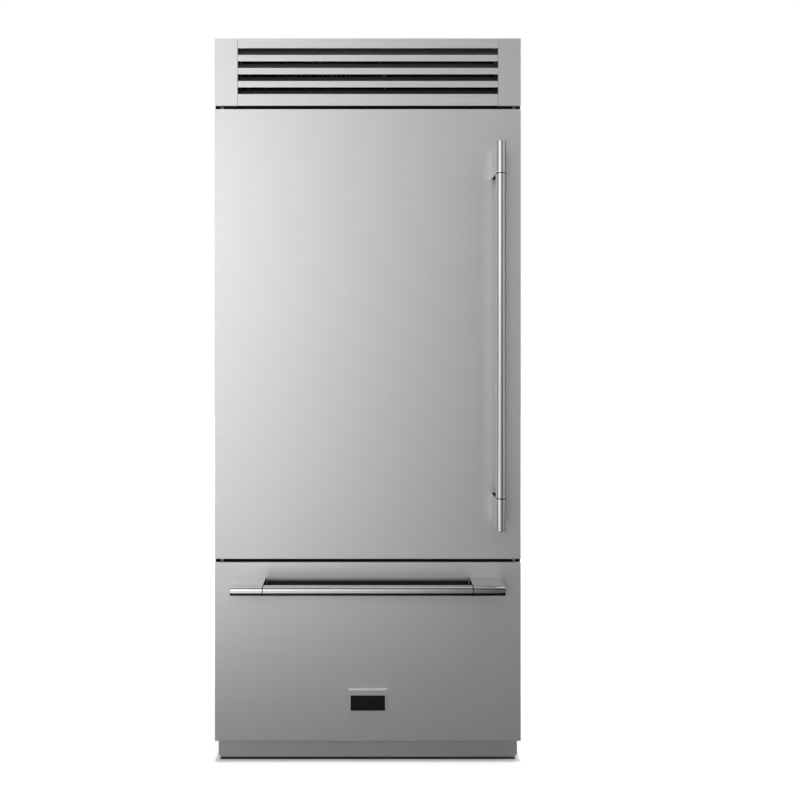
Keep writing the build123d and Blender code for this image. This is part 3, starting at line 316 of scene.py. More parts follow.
def liner_plastic():
    """White thermoformed liner with a faint stipple."""
    f = Finish("liner_plastic")
    stipple = f.noise(700, detail=1.0)
    cloud = f.noise(4)
    colour = f.tint(cloud, (0.80, 0.81, 0.81), (0.85, 0.857, 0.86))
    return f.skin(colour, 0.24 + 0.08 * stipple, f.relief(stipple, 0.00006, 0.4))


def seal_rubber():
    """Grey vinyl of the seals and the cord gland."""
    low, high = (0.16, 0.162, 0.165), (0.22, 0.222, 0.225)
    return grained("seal_rubber", 500, low, high, 0.5, 0.1, (0.00005, 0.4))


def clear_styrene(name, colour_low, colour_high, roughness, clear):
    """Transparent or milky moulded plastic with faint flow lines."""
    f = Finish(name)
    flow = f.noise(12, 12, 40, detail=3.0)
    colour = f.tint(flow, colour_low, colour_high)
    relief = f.relief(flow, 0.00005, 0.3)
    return f.skin(colour, roughness + 0.05 * flow, relief, IOR=1.5, Transmission_Weight=clear)


def shelf_glass():
    """Tempered glass, greener towards its edges."""
    f = Finish("shelf_glass")
    edge = f.spread(f.axes()[0].size(), 0.375, 0.386)
    colour = f.tint(edge, (0.93, 0.975, 0.955), (0.55, 0.80, 0.70))
    smear = f.noise(18, detail=4.0)
    rough = 0.015 + 0.05 * f.spread(smear, 0.55, 0.8)
    return f.skin(colour, rough, IOR=1.5, Transmission_Weight=0.95)


def satin_trim():
    """Satin anodised trims of the shelves."""
    f = Finish("satin_trim")
    drawn = f.noise(8, 900, 900, detail=3.0)
    colour = f.tint(drawn, (0.74, 0.745, 0.75), (0.83, 0.83, 0.83))
    return f.skin(colour, 0.28 + 0.08 * drawn, f.relief(drawn, 0.00001, 0.4), Metallic=1.0)


def fin_aluminium():
    """Aluminium fins with closely set ripples, darker in their troughs as painted shade."""
    f = Finish("fin_aluminium")
    ripple_pitch = 3.5 * MM
    ripple = (f.axes()[0] * (TAU / ripple_pitch)).wave() * 0.5 + 0.5
    dull = f.noise(80, detail=3.0)
    # painted shade: the colour follows the ripple, dark in the troughs
    colour = f.tint(ripple, (0.36, 0.36, 0.365), (0.72, 0.72, 0.72))
    return f.skin(colour, 0.35 + 0.2 * dull, f.relief(ripple, 0.0004, 0.8), Metallic=1.0)


def black_plastic():
    """Black moulded plastic with a fine spark texture."""
    low, high = (0.018, 0.018, 0.019), (0.035, 0.035, 0.036)
    return grained("black_plastic", 1100, low, high, 0.42, 0.16, (0.0001, 0.5))


def shade_black_felt():
    """Near-black, nearly unreflecting felt that stands in for shade: painted shade in the gaps
    between the fronts and round the handle bars.
    """
    low, high = (0.004,) * 3, (0.009,) * 3
    nap = (0.0003, 0.5)
    return grained("shade_black_felt", 1500, low, high, 0.95, 0.05, nap, Specular_IOR_Level=0.05)


def black_enamel():
    """Gloss black enamel of the compressor shell and motors."""
    f = Finish("black_enamel")
    orange = f.noise(160)
    dust = f.noise(25, detail=5.0)
    colour = f.tint(f.spread(dust, 0.5, 0.8), (0.012, 0.012, 0.012), (0.06, 0.058, 0.055))
    return f.skin(colour, 0.18 + 0.25 * dust, f.relief(orange, 0.0002, 0.4), Coat_Weight=0.5)


def light_lens():
    """Frosted lens of a light bar, with its row of lamps showing through."""
    f = Finish("light_lens")
    lamp_pitch = 30 * MM
    lamps = f.spread((f.axes()[2] * (TAU / lamp_pitch)).wave(), 0.2, 1.0)
    colour = f.tint(lamps, (0.86, 0.87, 0.88), (0.98, 0.97, 0.92))
    glow = f.tint(lamps, (0.85, 0.85, 0.82), (1.0, 0.97, 0.88))
    return f.skin(colour, 0.3 + 0.1 * lamps, Emission_Color=glow, Emission_Strength=0.6)


def copper():
    """Drawn copper pipe, darkened in patches."""
    f = Finish("copper")
    patches = f.noise(45, detail=4.0)
    drawn = f.noise(700)
    colour = f.tint(f.spread(patches, 0.35, 0.7), (0.80, 0.40, 0.25), (0.42, 0.20, 0.13))
    return f.skin(colour, 0.24 + 0.25 * patches, f.relief(drawn, 0.00003, 0.3), Metallic=1.0)


def touch_pad():
    """Pale grey membrane of the touch pads."""
    low, high = (0.42, 0.43, 0.45), (0.50, 0.51, 0.53)
    return grained("touch_pad", 800, low, high, 0.4, 0.1, (0.00005, 0.4))


def wheel_nylon():
    """Off-white nylon."""
    low, high = (0.60, 0.58, 0.52), (0.70, 0.68, 0.62)
    return grained("wheel_nylon", 90, low, high, 0.4, 0.1, (0.0001, 0.4), detail=3.0)


FINISHES = {
    "brushed_stainless": brushed_sheet("front_steel"),
    # the door's bar has a darker tone than the drawer's bar of the same steel: painted shade
    "handle_steel": polished_bar("door_bar_steel", "z", 0.58, 0.2),
    "badge_black": badge_enamel(),
    "cabinet_paint": cabinet_paint(),
    "zinc_sheet": zinc_sheet(),
    "zinc_hardware": zinc_plate(),
    "insulation": foam(),
    "liner_white": liner_plastic(),
    "seal_grey": seal_rubber(),
    "clear_plastic": clear_styrene(
        "crisper_clear", (0.90, 0.93, 0.95), (0.95, 0.97, 0.98), 0.04, 0.92
    ),
    "tub_plastic": clear_styrene("tub_milky", (0.82, 0.85, 0.87), (0.88, 0.90, 0.92), 0.3, 0.35),
    "shelf_glass": shelf_glass(),
    "shelf_metal": satin_trim(),
    "fin_aluminium": fin_aluminium(),
    "black_plastic": black_plastic(),
    "black_enamel": black_enamel(),
    "light_lens": light_lens(),
    "wheel_nylon": wheel_nylon(),
}
# the drawer's bar has a lighter tone than the door's bar of the same steel: painted light
DRAWER_BAR_STEEL = polished_bar("drawer_bar_steel", "x", 0.76, 0.11)
# painted shadow: the drawer's sheet is painted darker close behind its handle bar
DRAWER_STEEL = brushed_sheet("drawer_steel", painted_shadow=(546 * MM, 18 * MM, 301 * MM))
LOUVRE_STEEL = louvre_steel()
SHADE_BLACK_FELT = shade_black_felt()
COPPER = copper()
TOUCH_PAD = touch_pad()


def finish_nodes():
    """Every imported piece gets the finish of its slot."""
    for name, piece in NODES.items():
        finish = FINISHES[SLOT_OF[name]]
        if name.startswith("drawer_handle"):
            finish = DRAWER_BAR_STEEL
        elif name == "drawer_skin":
            finish = DRAWER_STEEL
        elif name == "grille_panel":
            finish = LOUVRE_STEEL
        piece.data.materials.clear()
        piece.data.materials.append(finish)


# ---------------- pieces: building blocks
def mm(*pairs):
    """Pairs of millimetres, turned into metres."""
    return [tuple(MM * value for value in pair) for pair in pairs]


def bridge(shape, ring, after):
    """Faces between two rings that have the same number of points."""
    for k in range(len(ring)):
        on = (k + 1) % len(ring)
        shape.faces.new((ring[k], ring[on], after[on], after[k]))


def show(name, shape, body, slot=None, finish=None, sharp=35.0):
    """Makes a piece of the shape, smooth apart from its sharp edges, riding on a body.

    It has its slot's finish, unless another is given.
    """
    mesh = bpy.data.meshes.new(name)
    bmesh.ops.recalc_face_normals(shape, faces=shape.faces)
    shape.to_mesh(mesh)
    shape.free()
    mesh.materials.append(finish or FINISHES[slot])
    for face in mesh.polygons:
        face.use_smooth = True
    mesh.set_sharp_from_angle(angle=math.radians(sharp))
    piece = bpy.data.objects.new(name, mesh)
    bpy.context.scene.collection.objects.link(piece)
    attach(piece, body)
    return piece


def add_block(shape, low, high, edge=0.0):
    """A block between two corners, its edges rounded."""
    made = bmesh.ops.create_cube(shape, size=1.0)["verts"]
    for vertex in made:
        for i in range(3):
            vertex.co[i] = low[i] if vertex.co[i] < 0 else high[i]
    if edge:
        edges = list({e for v in made for e in v.link_edges})
        bmesh.ops.bevel(shape, geom=edges, offset=edge, segments=2, affect="EDGES", profile=0.5)


def add_turned(shape, centre, axis, profile, steps=24, lobes=None, bored=False):
    """A lathe shape of (radius, distance along the axis); lobed rings make star sockets.

    A bored one is closed from its last ring to its first, so that its middle stays open.
    """
    turn = Vector((0, 0, 1)).rotation_difference(Vector(axis)).to_matrix()
    rings = []
    for i, (radius, along) in enumerate(profile):
        ring = []
        for k in range(steps):
            angle = TAU * k / steps
            r = radius * (1 + 0.16 * math.cos(6 * angle)) if lobes and i in lobes else radius
            local = Vector((r * math.cos(angle), r * math.sin(angle), along))
            ring.append(shape.verts.new(Vector(centre) + turn @ local))
        rings.append(ring)
    for ring, after in zip(rings, rings[1:]):
        bridge(shape, ring, after)
    if bored:
        bridge(shape, rings[-1], rings[0])
    else:
        shape.faces.new(rings[0])
        shape.faces.new(rings[-1])


def add_prism(shape, ends, outline):
    """A bar along X between two ends, whose outline holds (y, z)."""
    caps = [[shape.verts.new((x, y, z)) for y, z in outline] for x in ends]
    bridge(shape, *caps)
    shape.faces.new(caps[0])
    shape.faces.new(caps[1])


def rounded_route(points, bend, steps=6):
    """A route through the points with its corners turned at a bend radius."""
    route = [Vector(points[0])]
    for before, corner, after in zip(points, points[1:], points[2:]):
        corner = Vector(corner)
        back = Vector(before) - corner
        on = Vector(after) - corner
        reach = min(bend, 0.45 * back.length, 0.45 * on.length)
        start = corner + reach * back.normalized()
        end = corner + reach * on.normalized()
        for i in range(steps + 1):
            t = i / steps
            route.append((1 - t) ** 2 * start + 2 * t * (1 - t) * corner + t**2 * end)
    route.append(Vector(points[-1]))
    return route


def add_tube(shape, points, radius, bend=0.02, steps=12, ring=False):
    """A round tube or wire along a route; a ring joins its last point to its first."""
    route = [Vector(p) for p in points] if ring else rounded_route(points, bend)
    count = len(route)
    rings = []
    side = None
    for i, point in enumerate(route):
        ahead = route[(i + 1) % count] if ring or i + 1 < count else point
        behind = route[i - 1] if ring or i else point
        way = (ahead - behind).normalized()
        if side is None:
            side = way.orthogonal()
        side = (side - way * side.dot(way)).normalized()
        up = way.cross(side)
        turns = [TAU * k / steps for k in range(steps)]
        spokes = [math.cos(turn) * side + math.sin(turn) * up for turn in turns]
        rings.append([shape.verts.new(point + radius * spoke) for spoke in spokes])
    for before, after in zip(rings, rings[1:]):
        bridge(shape, before, after)
    if ring:
        bridge(shape, rings[-1], rings[0])
    else:
        shape.faces.new(rings[0])
        shape.faces.new(rings[-1])


def add_ring_strip(shape, x, z, profile):
    """A strip mitred round a rectangle; its closed outline holds (inset from the edge, y)."""
    loops = []
    for inset, y in profile:
        corners = (
            (x[0] + inset, z[0] + inset),
            (x[1] - inset, z[0] + inset),
            (x[1] - inset, z[1] - inset),
            (x[0] + inset, z[1] - inset),
        )
        loops.append([shape.verts.new((cx, y, cz)) for cx, cz in corners])
    for loop, after in zip(loops, loops[1:] + loops[:1]):
        bridge(shape, loop, after)


def add_raised_frame(shape, x, z, y):
    """A raised frame round a rectangle on a face towards -Y."""
    wide = 3 * MM
    tall = 1.2 * MM
    sunk = y + 0.5 * MM
    bevel = 0.4 * MM
    profile = (
        (0.0, sunk),
        (0.0, y - 0.6 * tall),
        (bevel, y - tall),
        (wide - bevel, y - tall),
        (wide, y - 0.6 * tall),
        (wide, sunk),
    )
    add_ring_strip(shape, x, z, profile)


def add_screw(shape, centre, axis, radius, rise):
    """A low domed screw head with a star socket."""
    profile = (
        (radius, -0.2 * rise),
        (radius, 0.25 * rise),
        (0.86 * radius, 0.72 * rise),
        (0.55 * radius, 0.97 * rise),
        (0.42 * radius, rise),
        (0.36 * radius, 0.35 * rise),
    )
    add_turned(shape, centre, axis, profile, steps=36, lobes=(4, 5))


def add_screws(shape, xs, y, zs, way, radius, rise):
    """Screws wherever one of some x crosses one of some z, on a face square to Y."""
    for z in zs:
        for x in xs:
            add_screw(shape, (x, y, z), (0, way, 0), radius, rise)


# ---------------- seals
def bellows_seal(name, gasket, body):
    """Magnetic seal with a foot, a folded neck and a flat bulb, in the place of its solid."""
    low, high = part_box(gasket)
    deep = high.y - low.y
    width = 16 * MM
    outline = (
        (0.02, 0.0), (0.0, 0.10), (0.16, 0.20), (0.26, 0.30), (0.10, 0.42), (0.02, 0.58),
        (0.02, 0.86), (0.08, 1.0), (0.92, 1.0), (0.98, 0.86), (0.98, 0.58), (0.90, 0.42),
        (0.74, 0.30), (0.84, 0.20), (1.0, 0.10), (0.98, 0.0),
    )
    shape = bmesh.new()
    profile = [(across * width, low.y + up * deep) for across, up in outline]
    add_ring_strip(shape, (low.x, high.x), (low.z, high.z), profile)
    piece = show(name, shape, body, "seal_grey", sharp=50.0)
    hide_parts(gasket)


# ---------------- gaps between the fronts
PIN_X = 433 * MM  # hinge pins, seen as small bright marks in the gaps
GAP_HALF = 452 * MM  # half the length of a gap


def gap_shade_strip(name, gap):
    """Near-black strip set behind a gap between two fronts, where there is only shade: painted
    shade, with notches round the pins.
    """
    low, high = gap
    notch = 5 * MM
    clear = 0.8 * MM
    edge = 0.3 * MM
    shape = bmesh.new()
    for start, end in (
        (-GAP_HALF, -PIN_X - notch),
        (-PIN_X + notch, PIN_X - notch),
        (PIN_X + notch, GAP_HALF),
    ):
        near = (start, FRONT + 5 * MM, low + clear)
        add_block(shape, near, (end, FRONT + 8 * MM, high - clear), edge)
    frame_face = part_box("face_frame")[0].y
    middle = 0.5 * (low + high)
    web_half = PIN_X - 35 * MM
    near = (-web_half, FRONT + 7 * MM, middle - clear)
    add_block(shape, near, (web_half, frame_face, middle + clear), edge)
    # painted shade: the strip is near black so that the gap reads as shadow
    show(name, shape, "cabinet", "black_plastic", SHADE_BLACK_FELT)


# ---------------- handles
BRACKET = 91.4 * MM  # length of a bracket along its bar
GROOVE = 2.5 * MM
NECK_RADIUS = 11.5 * MM  # of a bar where it enters its brackets
HANDLES = (  # the handle's body, and the axis of its bar
    ("door", 2),
    ("drawer", 0),
)


def groove_shade_rings():
    """Near-black rings that fill the grooves between the bars and their brackets: painted shade in
    the grooves.
    """
    inner = NECK_RADIUS + 0.1 * MM
    half = 0.5 * GROOVE - 0.05 * MM
    rim = 0.3 * MM
    for body, axis in HANDLES:
        low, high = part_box(f"{body}_handle_bar")
        outer_low, outer_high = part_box(f"{body}_handle_brackets")
        radius = 0.5 * (high[2 - axis] - low[2 - axis])
        edge = radius - 1.0 * MM
        face = radius - 0.7 * MM
        lower = ((inner, -half), (edge, -half), (face, -half + rim))
        profile = (*lower, (face, half - rim), (edge, half), (inner, half))
        shape = bmesh.new()
        way = Vector((0, 0, 0))
        way[axis] = 1.0
        for end, side in ((outer_low[axis], 1), (outer_high[axis], -1)):
            place = 0.5 * (low + high)
            place[axis] = end + side * (BRACKET + 0.5 * GROOVE)
            add_turned(shape, place, way, profile, steps=48, bored=True)
        show(f"{body}_handle_shade_rings", shape, body, "black_plastic", SHADE_BLACK_FELT)


def bracket_shade_pads():
    """Near-black pads on the inner ends of the four handle posts: painted shade on the posts' inner
    faces.
    """
    post = 13.6 * MM
    thick = 0.6 * MM
    bar_deep = 30 * MM
    bar_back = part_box("door_handle_brackets")[0].y + bar_deep
    for body, axis in HANDLES:
        low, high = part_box(f"{body}_handle_brackets")
        middle = 0.5 * (low + high)
        shape = bmesh.new()
        for end, way in ((high[axis] - BRACKET, -1), (low[axis] + BRACKET, 1)):
            near = [middle.x - post, bar_back, middle.z - post]
            far = [middle.x + post, FRONT - 0.4 * MM, middle.z + post]
            near[axis], far[axis] = sorted((end, end + way * thick))
            add_block(shape, near, far, 0.15 * MM)
        show(f"{body}_handle_shade_pads", shape, body, "black_plastic", SHADE_BLACK_FELT)


# ---------------- cabinet hardware
def hinge_leaf_screws():
    """Two screws in each of the four hinge leaves."""
    low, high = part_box("hinge_brackets")
    leaf = 4 * MM
    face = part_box("face_frame")[0].y - leaf
    inset = 7.5 * MM
    xs = (low.x + inset, high.x - inset)
    tops = (high.z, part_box("door_skin")[0].z - 3 * MM)
    zs = [top - drop for top in tops for drop in (24 * MM, 47 * MM)]
    shape = bmesh.new()
    add_screws(shape, xs, face, zs, -1, 4.4 * MM, 1.5 * MM)
    show("hinge_leaf_screws", shape, "cabinet", "zinc_hardware")


def side_seam_screws():
    """Rows of screws along the rear edges of the side panels."""
    low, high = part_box("side_panels")
    shape = bmesh.new()
    rows = 7
    end = 60 * MM
    y = high.y - 16 * MM
    for side, x in ((-1, low.x), (1, high.x)):
        for i in range(rows):
            z = low.z + end + i * (high.z - low.z - 2 * end) / (rows - 1)
            add_screw(shape, (x, y, z), (side, 0, 0), 5 * MM, 1.8 * MM)
    show("side_seam_screws", shape, "cabinet", "zinc_hardware")


def wheel_bolts():
    """Hexagon heads and washers outside the forks, on the axles of the rear wheels."""
    shape = bmesh.new()
    fork = 5 * MM
    head = mm((6.2, 0.8), (6.2, 3.0), (5.2, 3.6))
    washer = mm((8.5, -0.1), (8.5, 0.7), (8.1, 0.9))
    for wheel in ("wheel_left", "wheel_right"):
        low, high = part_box(wheel)
        centre = 0.5 * (low + high)
        for side, x in ((-1, low.x - fork), (1, high.x + fork)):
            for profile, steps in ((washer, 28), (head, 6)):
                add_turned(shape, (x, centre.y, centre.z), (side, 0, 0), profile, steps)
    show("wheel_bolts", shape, "cabinet", "zinc_hardware", sharp=25.0)


def leg_nuts():
    """A spanner hexagon on each levelling foot, and a lock nut under its socket."""
    inner = 8.1 * MM
    across = 13.5 * MM
    foot_top = 10 * MM
    socket = 60 * MM
    hexagon_height = 8 * MM
    nut_height = 6 * MM
    for leg in ("leg_left", "leg_right"):
        low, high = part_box(leg)
        middle = 0.5 * (low + high)
        for name, body, tall, foot in (
            ("hexagon", leg, hexagon_height, foot_top),
            ("lock_nut", "cabinet", nut_height, socket - nut_height),
        ):
            edge = across - 0.9 * MM
            lower = ((inner, 0.0), (edge, 0.0), (across, 0.7 * MM))
            profile = (*lower, (across, tall - 0.7 * MM), (edge, tall), (inner, tall))
            shape = bmesh.new()
            place = (middle.x, middle.y, foot)
            add_turned(shape, place, (0, 0, 1), profile, steps=6, bored=True)
            show(f"{leg}_{name}", shape, body, "zinc_hardware", sharp=25.0)


def rubber_gland():
    """Round-lipped rubber grommet in the back panel, in the place of its solid."""
    low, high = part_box("power_gland")
    centre = 0.5 * (low + high)
    lip = 0.5 * (high.x - low.x)
    thick = high.y - low.y
    bore = 6 * MM
    neck = lip - 3 * MM
    round_off = 0.8 * MM
    profile = (
        (bore + round_off, 0.0),
        (bore, round_off),
        (bore, thick - round_off),
        (bore + round_off, thick),
        (neck, thick),
        (neck, thick - 1.5 * MM),
        (neck, 0.6 * thick),
        (lip - 0.7 * MM, 0.6 * thick),
        (lip, 0.5 * thick),
        (lip, 0.2 * thick),
        (lip - 1.2 * MM, 0.0),
    )
    shape = bmesh.new()
    add_turned(shape, (centre.x, low.y, centre.z), (0, 1, 0), profile, steps=40, bored=True)
    piece = show("cord_gland", shape, "cabinet", "seal_grey")
    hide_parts("power_gland")


# ---------------- machine compartment
def compressor_fittings():
    """Terminal cover with its screw, and the stud of the weld, on the compressor's shell."""
    low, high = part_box("compressor")
    x = 0.5 * (low.x + high.x) + 4.5 * MM
    front = low.y + 6 * MM
    seam = low.z + 84 * MM
    lid = front - 22 * MM
    shape = bmesh.new()
    near = (x - 32 * MM, front - 20 * MM, seam - 62 * MM)
    add_block(shape, near, (x + 32 * MM, front + 16 * MM, seam - 8 * MM), 4 * MM)
    near = (x - 24 * MM, lid, seam - 52 * MM)
    add_block(shape, near, (x + 24 * MM, front - 18 * MM, seam - 18 * MM), 1.5 * MM)
    show("terminal_cover", shape, "cabinet", "black_plastic")
    shape = bmesh.new()
    add_screw(shape, (x, lid, seam - 35 * MM), (0, -1, 0), 4 * MM, 2 * MM)
    stud = mm((7, -2), (7, 1.5), (4, 3), (3.4, 9), (2.6, 10))
    add_turned(shape, (x, 0.5 * (low.y + high.y), high.z), (0, 0, 1), stud)
    show("compressor_studs", shape, "cabinet", "zinc_hardware")


def cooling_pipes():
    """Copper pipes from the compressor to the condenser, through the filter drier and down."""
    low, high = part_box("compressor")
    coil_low, coil_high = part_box("condenser")
    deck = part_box("machine_deck")[1].z
    middle_y = 0.5 * (low.y + high.y)
    coil_y = 0.5 * (coil_low.y + coil_high.y)
    coil_end = coil_high.x - 18 * MM
    coil_inlet = coil_high.z - 7 * MM
    coil_outlet = deck + 6 * MM
    pipe = 3 * MM
    thin_pipe = 2.4 * MM
    suction_pipe = 4 * MM
    capillary = 1.2 * MM
    shape = bmesh.new()
    stub = low.x + 2 * MM
    stub_z = deck + 60 * MM
    riser = stub - 26 * MM
    hot = (
        (stub + 6 * MM, middle_y, stub_z),
        (riser, middle_y, stub_z),
        (riser, middle_y, coil_inlet),
        (riser, coil_y + 60 * MM, coil_inlet),
        (coil_end + 34 * MM, coil_y, coil_inlet),
        (coil_end - 2 * MM, coil_y, coil_inlet),
    )
    add_tube(shape, hot, pipe)
    drier = Vector((low.x + 40 * MM, low.y - 72 * MM, deck + 24 * MM))
    liquid = (
        (coil_end - 2 * MM, coil_y, coil_outlet),
        (coil_end + 44 * MM, coil_y, coil_outlet),
        (coil_end + 44 * MM, drier.y, drier.z),
        drier,
    )
    add_tube(shape, liquid, thin_pipe)
    drier_length = 78
    drier_profile = mm(
        (2.4, -12),
        (3.4, -2),
        (9, 8),
        (9, drier_length - 8),
        (3.4, drier_length + 2),
        (1.6, drier_length + 12),
    )
    add_turned(shape, drier, (1, 0, 0), drier_profile)
    out_x = drier.x + (drier_length + 10) * MM
    turns = 3
    points = 24
    loop_radius = 22 * MM
    climb = 0.28 * MM
    fine = [(out_x, drier.y, drier.z)]
    for i in range(1, turns * points + 1):
        angle = TAU * i / points
        x = out_x + 14 * MM + loop_radius * math.sin(angle)
        fine.append((x, drier.y + loop_radius * (1 - math.cos(angle)), drier.z + i * climb))
    fine.append((out_x + 60 * MM, drier.y + 30 * MM, deck + 1 * MM))
    add_tube(shape, fine, capillary, bend=2 * MM, steps=8)
    filling = (
        (low.x + 52 * MM, low.y + 30 * MM, low.z + 120 * MM),
        (low.x + 30 * MM, low.y + 4 * MM, low.z + 128 * MM),
        (low.x + 26 * MM, low.y - 22 * MM, low.z + 128 * MM),
    )
    add_tube(shape, filling, pipe)
    down = (high.x + 24 * MM, middle_y + 60 * MM)
    suction_z = low.z + 70 * MM
    suction = (
        (high.x - 38 * MM, middle_y + 20 * MM, suction_z),
        (down[0], middle_y + 20 * MM, suction_z),
        (*down, suction_z),
        (*down, deck - 0.5 * MM),
    )
    add_tube(shape, suction, suction_pipe)
    show("cooling_pipes", shape, "cabinet", finish=COPPER)
    shape = bmesh.new()
    collar = mm((4.1, 0), (11, 0), (11, 2), (6, 5), (4.1, 5))
    add_turned(shape, (*down, deck), (0, 0, 1), collar, bored=True)
    add_turned(shape, (*fine[-1][:2], deck), (0, 0, 1), collar)
    show("pipe_collars", shape, "cabinet", "seal_grey")


def control_box_fittings():
    """Screws, vent ribs and rocker frame of the control box, and the duct its wires run in."""
    low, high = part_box("control_box")
    inset = 9 * MM
    xs = (low.x + inset, high.x - inset)
    shape = bmesh.new()
    add_screws(shape, xs, low.y, (low.z + inset, high.z - inset), -1, 3.6 * MM, 2 * MM)
    show("control_box_screws", shape, "cabinet", "zinc_hardware")
    shape = bmesh.new()
    for i in range(9):
        x = high.x - 26 * MM - i * 5 * MM
        near = (x, low.y - 1.2 * MM, low.z + 26 * MM)
        add_block(shape, near, (x + 2.2 * MM, low.y + 1 * MM, low.z + 70 * MM), 0.5 * MM)
    middle = 0.5 * (low.x + high.x)
    rim_x = 13 * MM
    rim_z = 18 * MM
    rocker_z = low.z + 60 * MM
    add_raised_frame(
        shape, (middle - rim_x, middle + rim_x), (rocker_z - rim_z, rocker_z + rim_z), low.y
    )
    duct_y = high.y + 14 * MM
    duct_top = low.z + 14 * MM
    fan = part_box("fan_motors")[0].x + 35 * MM
    near = (fan - 12 * MM, duct_y, low.z)
    add_block(shape, near, (high.x - 20 * MM, duct_y + 18 * MM, duct_top), 1.5 * MM)
    near = (high.x - 60 * MM, high.y - 1 * MM, low.z)
    add_block(shape, near, (high.x - 42 * MM, duct_y + 4 * MM, duct_top), 1.5 * MM)
    show("control_box_trim", shape, "cabinet", "black_plastic")


def add_fan_guard(shape, centre, radius, rings):
    """Wire rings and four spokes square to Y, in front of a fan."""
    wire = 0.9 * MM

    def spot(r, angle, back=0.0):
        x = centre[0] + r * math.cos(angle)
        return (x, centre[1] + back, centre[2] + r * math.sin(angle))

    for i in range(rings):
        r = radius * (i + 1) / rings
        add_tube(shape, [spot(r, TAU * k / 48) for k in range(48)], wire, steps=8, ring=True)
    for k in range(4):
        ends = (0.9 * radius / rings, radius + 2 * MM)
        spoke = [spot(r, TAU * (k + 0.5) / 4, 1.4 * wire) for r in ends]
        add_tube(shape, spoke, wire, steps=8)


# ---------------- freezer
def evaporator_cover_fittings():
    """Screws round the freezer's rear cover and a wire guard over its fan throat."""
    low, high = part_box("evaporator_cover")
    blades_low, blades_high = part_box("evaporator_fan_blades")
    inset = 22 * MM
    xs = (low.x + 18 * MM, high.x - 18 * MM)
    zs = (low.z + inset, 0.5 * (low.z + high.z), high.z - inset)
    shape = bmesh.new()
    add_screws(shape, xs, low.y, zs, -1, 5 * MM, 2.2 * MM)
    fan_z = 0.5 * (blades_low + blades_high).z
    add_fan_guard(shape, (0.0, low.y - 1.2 * MM, fan_z), radius=57 * MM, rings=5)
    show("evaporator_cover_screws", shape, "cabinet", "zinc_hardware")


def basket_divider():
    """A wire divider that stands across the middle of the freezer basket."""
    low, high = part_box("freezer_basket")
    wire = 1.8 * MM
    bar_wire = 1.1 * MM
    gap = 4 * MM
    corner = 12 * MM
    start = low.y + 3 * MM + gap
    end = high.y - 3 * MM - gap
    top = high.z - 8 * MM
    bottom = low.z + 3 * MM + wire
    shape = bmesh.new()
    frame_route = (
        (0.0, start, top),
        (0.0, end, top),
        (0.0, end, bottom + corner),
        (0.0, end - gap - corner, bottom),
        (0.0, start + gap + corner, bottom),
        (0.0, start, bottom + corner),
        (0.0, start, top - wire),
    )
    add_tube(shape, frame_route, wire, bend=10 * MM, steps=10)
    bars = 13
    for i in range(1, bars):
        at = start + i * (end - start) / bars
        add_tube(shape, ((0.0, at, bottom), (0.0, at, top)), bar_wire, steps=8)
    show("basket_divider", shape, "drawer", "zinc_hardware")


def drawer_fixings():
    """Screws that hold the carrier to the drawer's liner."""
    low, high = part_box("drawer_carrier")
    liner_back = low.y + 1.5 * MM
    inset = 5.5 * MM
    xs = (low.x + inset, high.x - inset)
    zs = (low.z + 14 * MM, low.z + 42 * MM, high.z - 42 * MM, high.z - 14 * MM)
    shape = bmesh.new()
    add_screws(shape, xs, liner_back, zs, 1, 3.4 * MM, 2 * MM)
    show("carrier_screws", shape, "drawer", "zinc_hardware")


# ---------------- refrigerator compartment
SLIP = 0.1 * MM  # between a trim and the edge it sits on


def channel(near, far, top, proud, drops, eases):
    """Outline in (y, z) of a trim that sits over the top of a wall, from near to far."""
    return (
        (near - proud, top - drops[0]),
        (near - SLIP, top - drops[0]),
        (near - SLIP, top + SLIP),
        (far + SLIP, top + SLIP),
        (far + SLIP, top - drops[1]),
        (far + proud, top - drops[1]),
        (far + proud, top + eases[0]),
        (far + eases[1], top + proud),
        (near - eases[2], top + proud),
        (near - proud, top + eases[3]),
    )


def bin_trims():
    """A satin channel along the top of each door bin's inner wall."""
    low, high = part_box("door_bins")
    pitch = 300 * MM
    tall = 110 * MM
    end = 14 * MM
    sizes = (1.0 * MM, (12 * MM, 16 * MM), (0.5 * MM,) * 4)
    shape = bmesh.new()
    for i in range(3):
        rim = channel(high.y - 3 * MM, high.y, low.z + i * pitch + tall, *sizes)
        add_prism(shape, (low.x + end, high.x - end), rim)
    show("bin_trims", shape, "door", "shelf_metal")


def duct_fins():
    """Upright fins in the outlet slots of the air duct."""
    low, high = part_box("air_duct")
    half = 0.5 * (high.x - low.x) - 25 * MM
    first_slot = 80 * MM
    slot_pitch = 170 * MM
    half_thick = 0.5 * MM
    fins = 15
    shape = bmesh.new()
    for row in range(5):
        z = low.z + first_slot + row * slot_pitch
        for i in range(1, fins):
            x = -half + 2 * half * i / fins
            near = (x - half_thick, low.y + 0.6 * MM, z - 0.2 * MM)
            add_block(shape, near, (x + half_thick, low.y + 9 * MM, z + 10.2 * MM), 0.2 * MM)
    show("duct_fins", shape, "cabinet", "liner_white")


def crisper_trims():
    """Channels along the crispers' top front edges."""
    sizes = (1.2 * MM, (7 * MM, 5 * MM), (0.5 * MM, 0.4 * MM, 0.5 * MM, 0.4 * MM))
    for crisper in ("crisper_left", "crisper_right"):
        low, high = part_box(crisper)
        shape = bmesh.new()
        rim = channel(low.y, low.y + 6 * MM, high.z, *sizes)
        add_prism(shape, (low.x + 1 * MM, high.x - 1 * MM), rim)
        show(f"{crisper}_trim", shape, crisper, "shelf_metal")


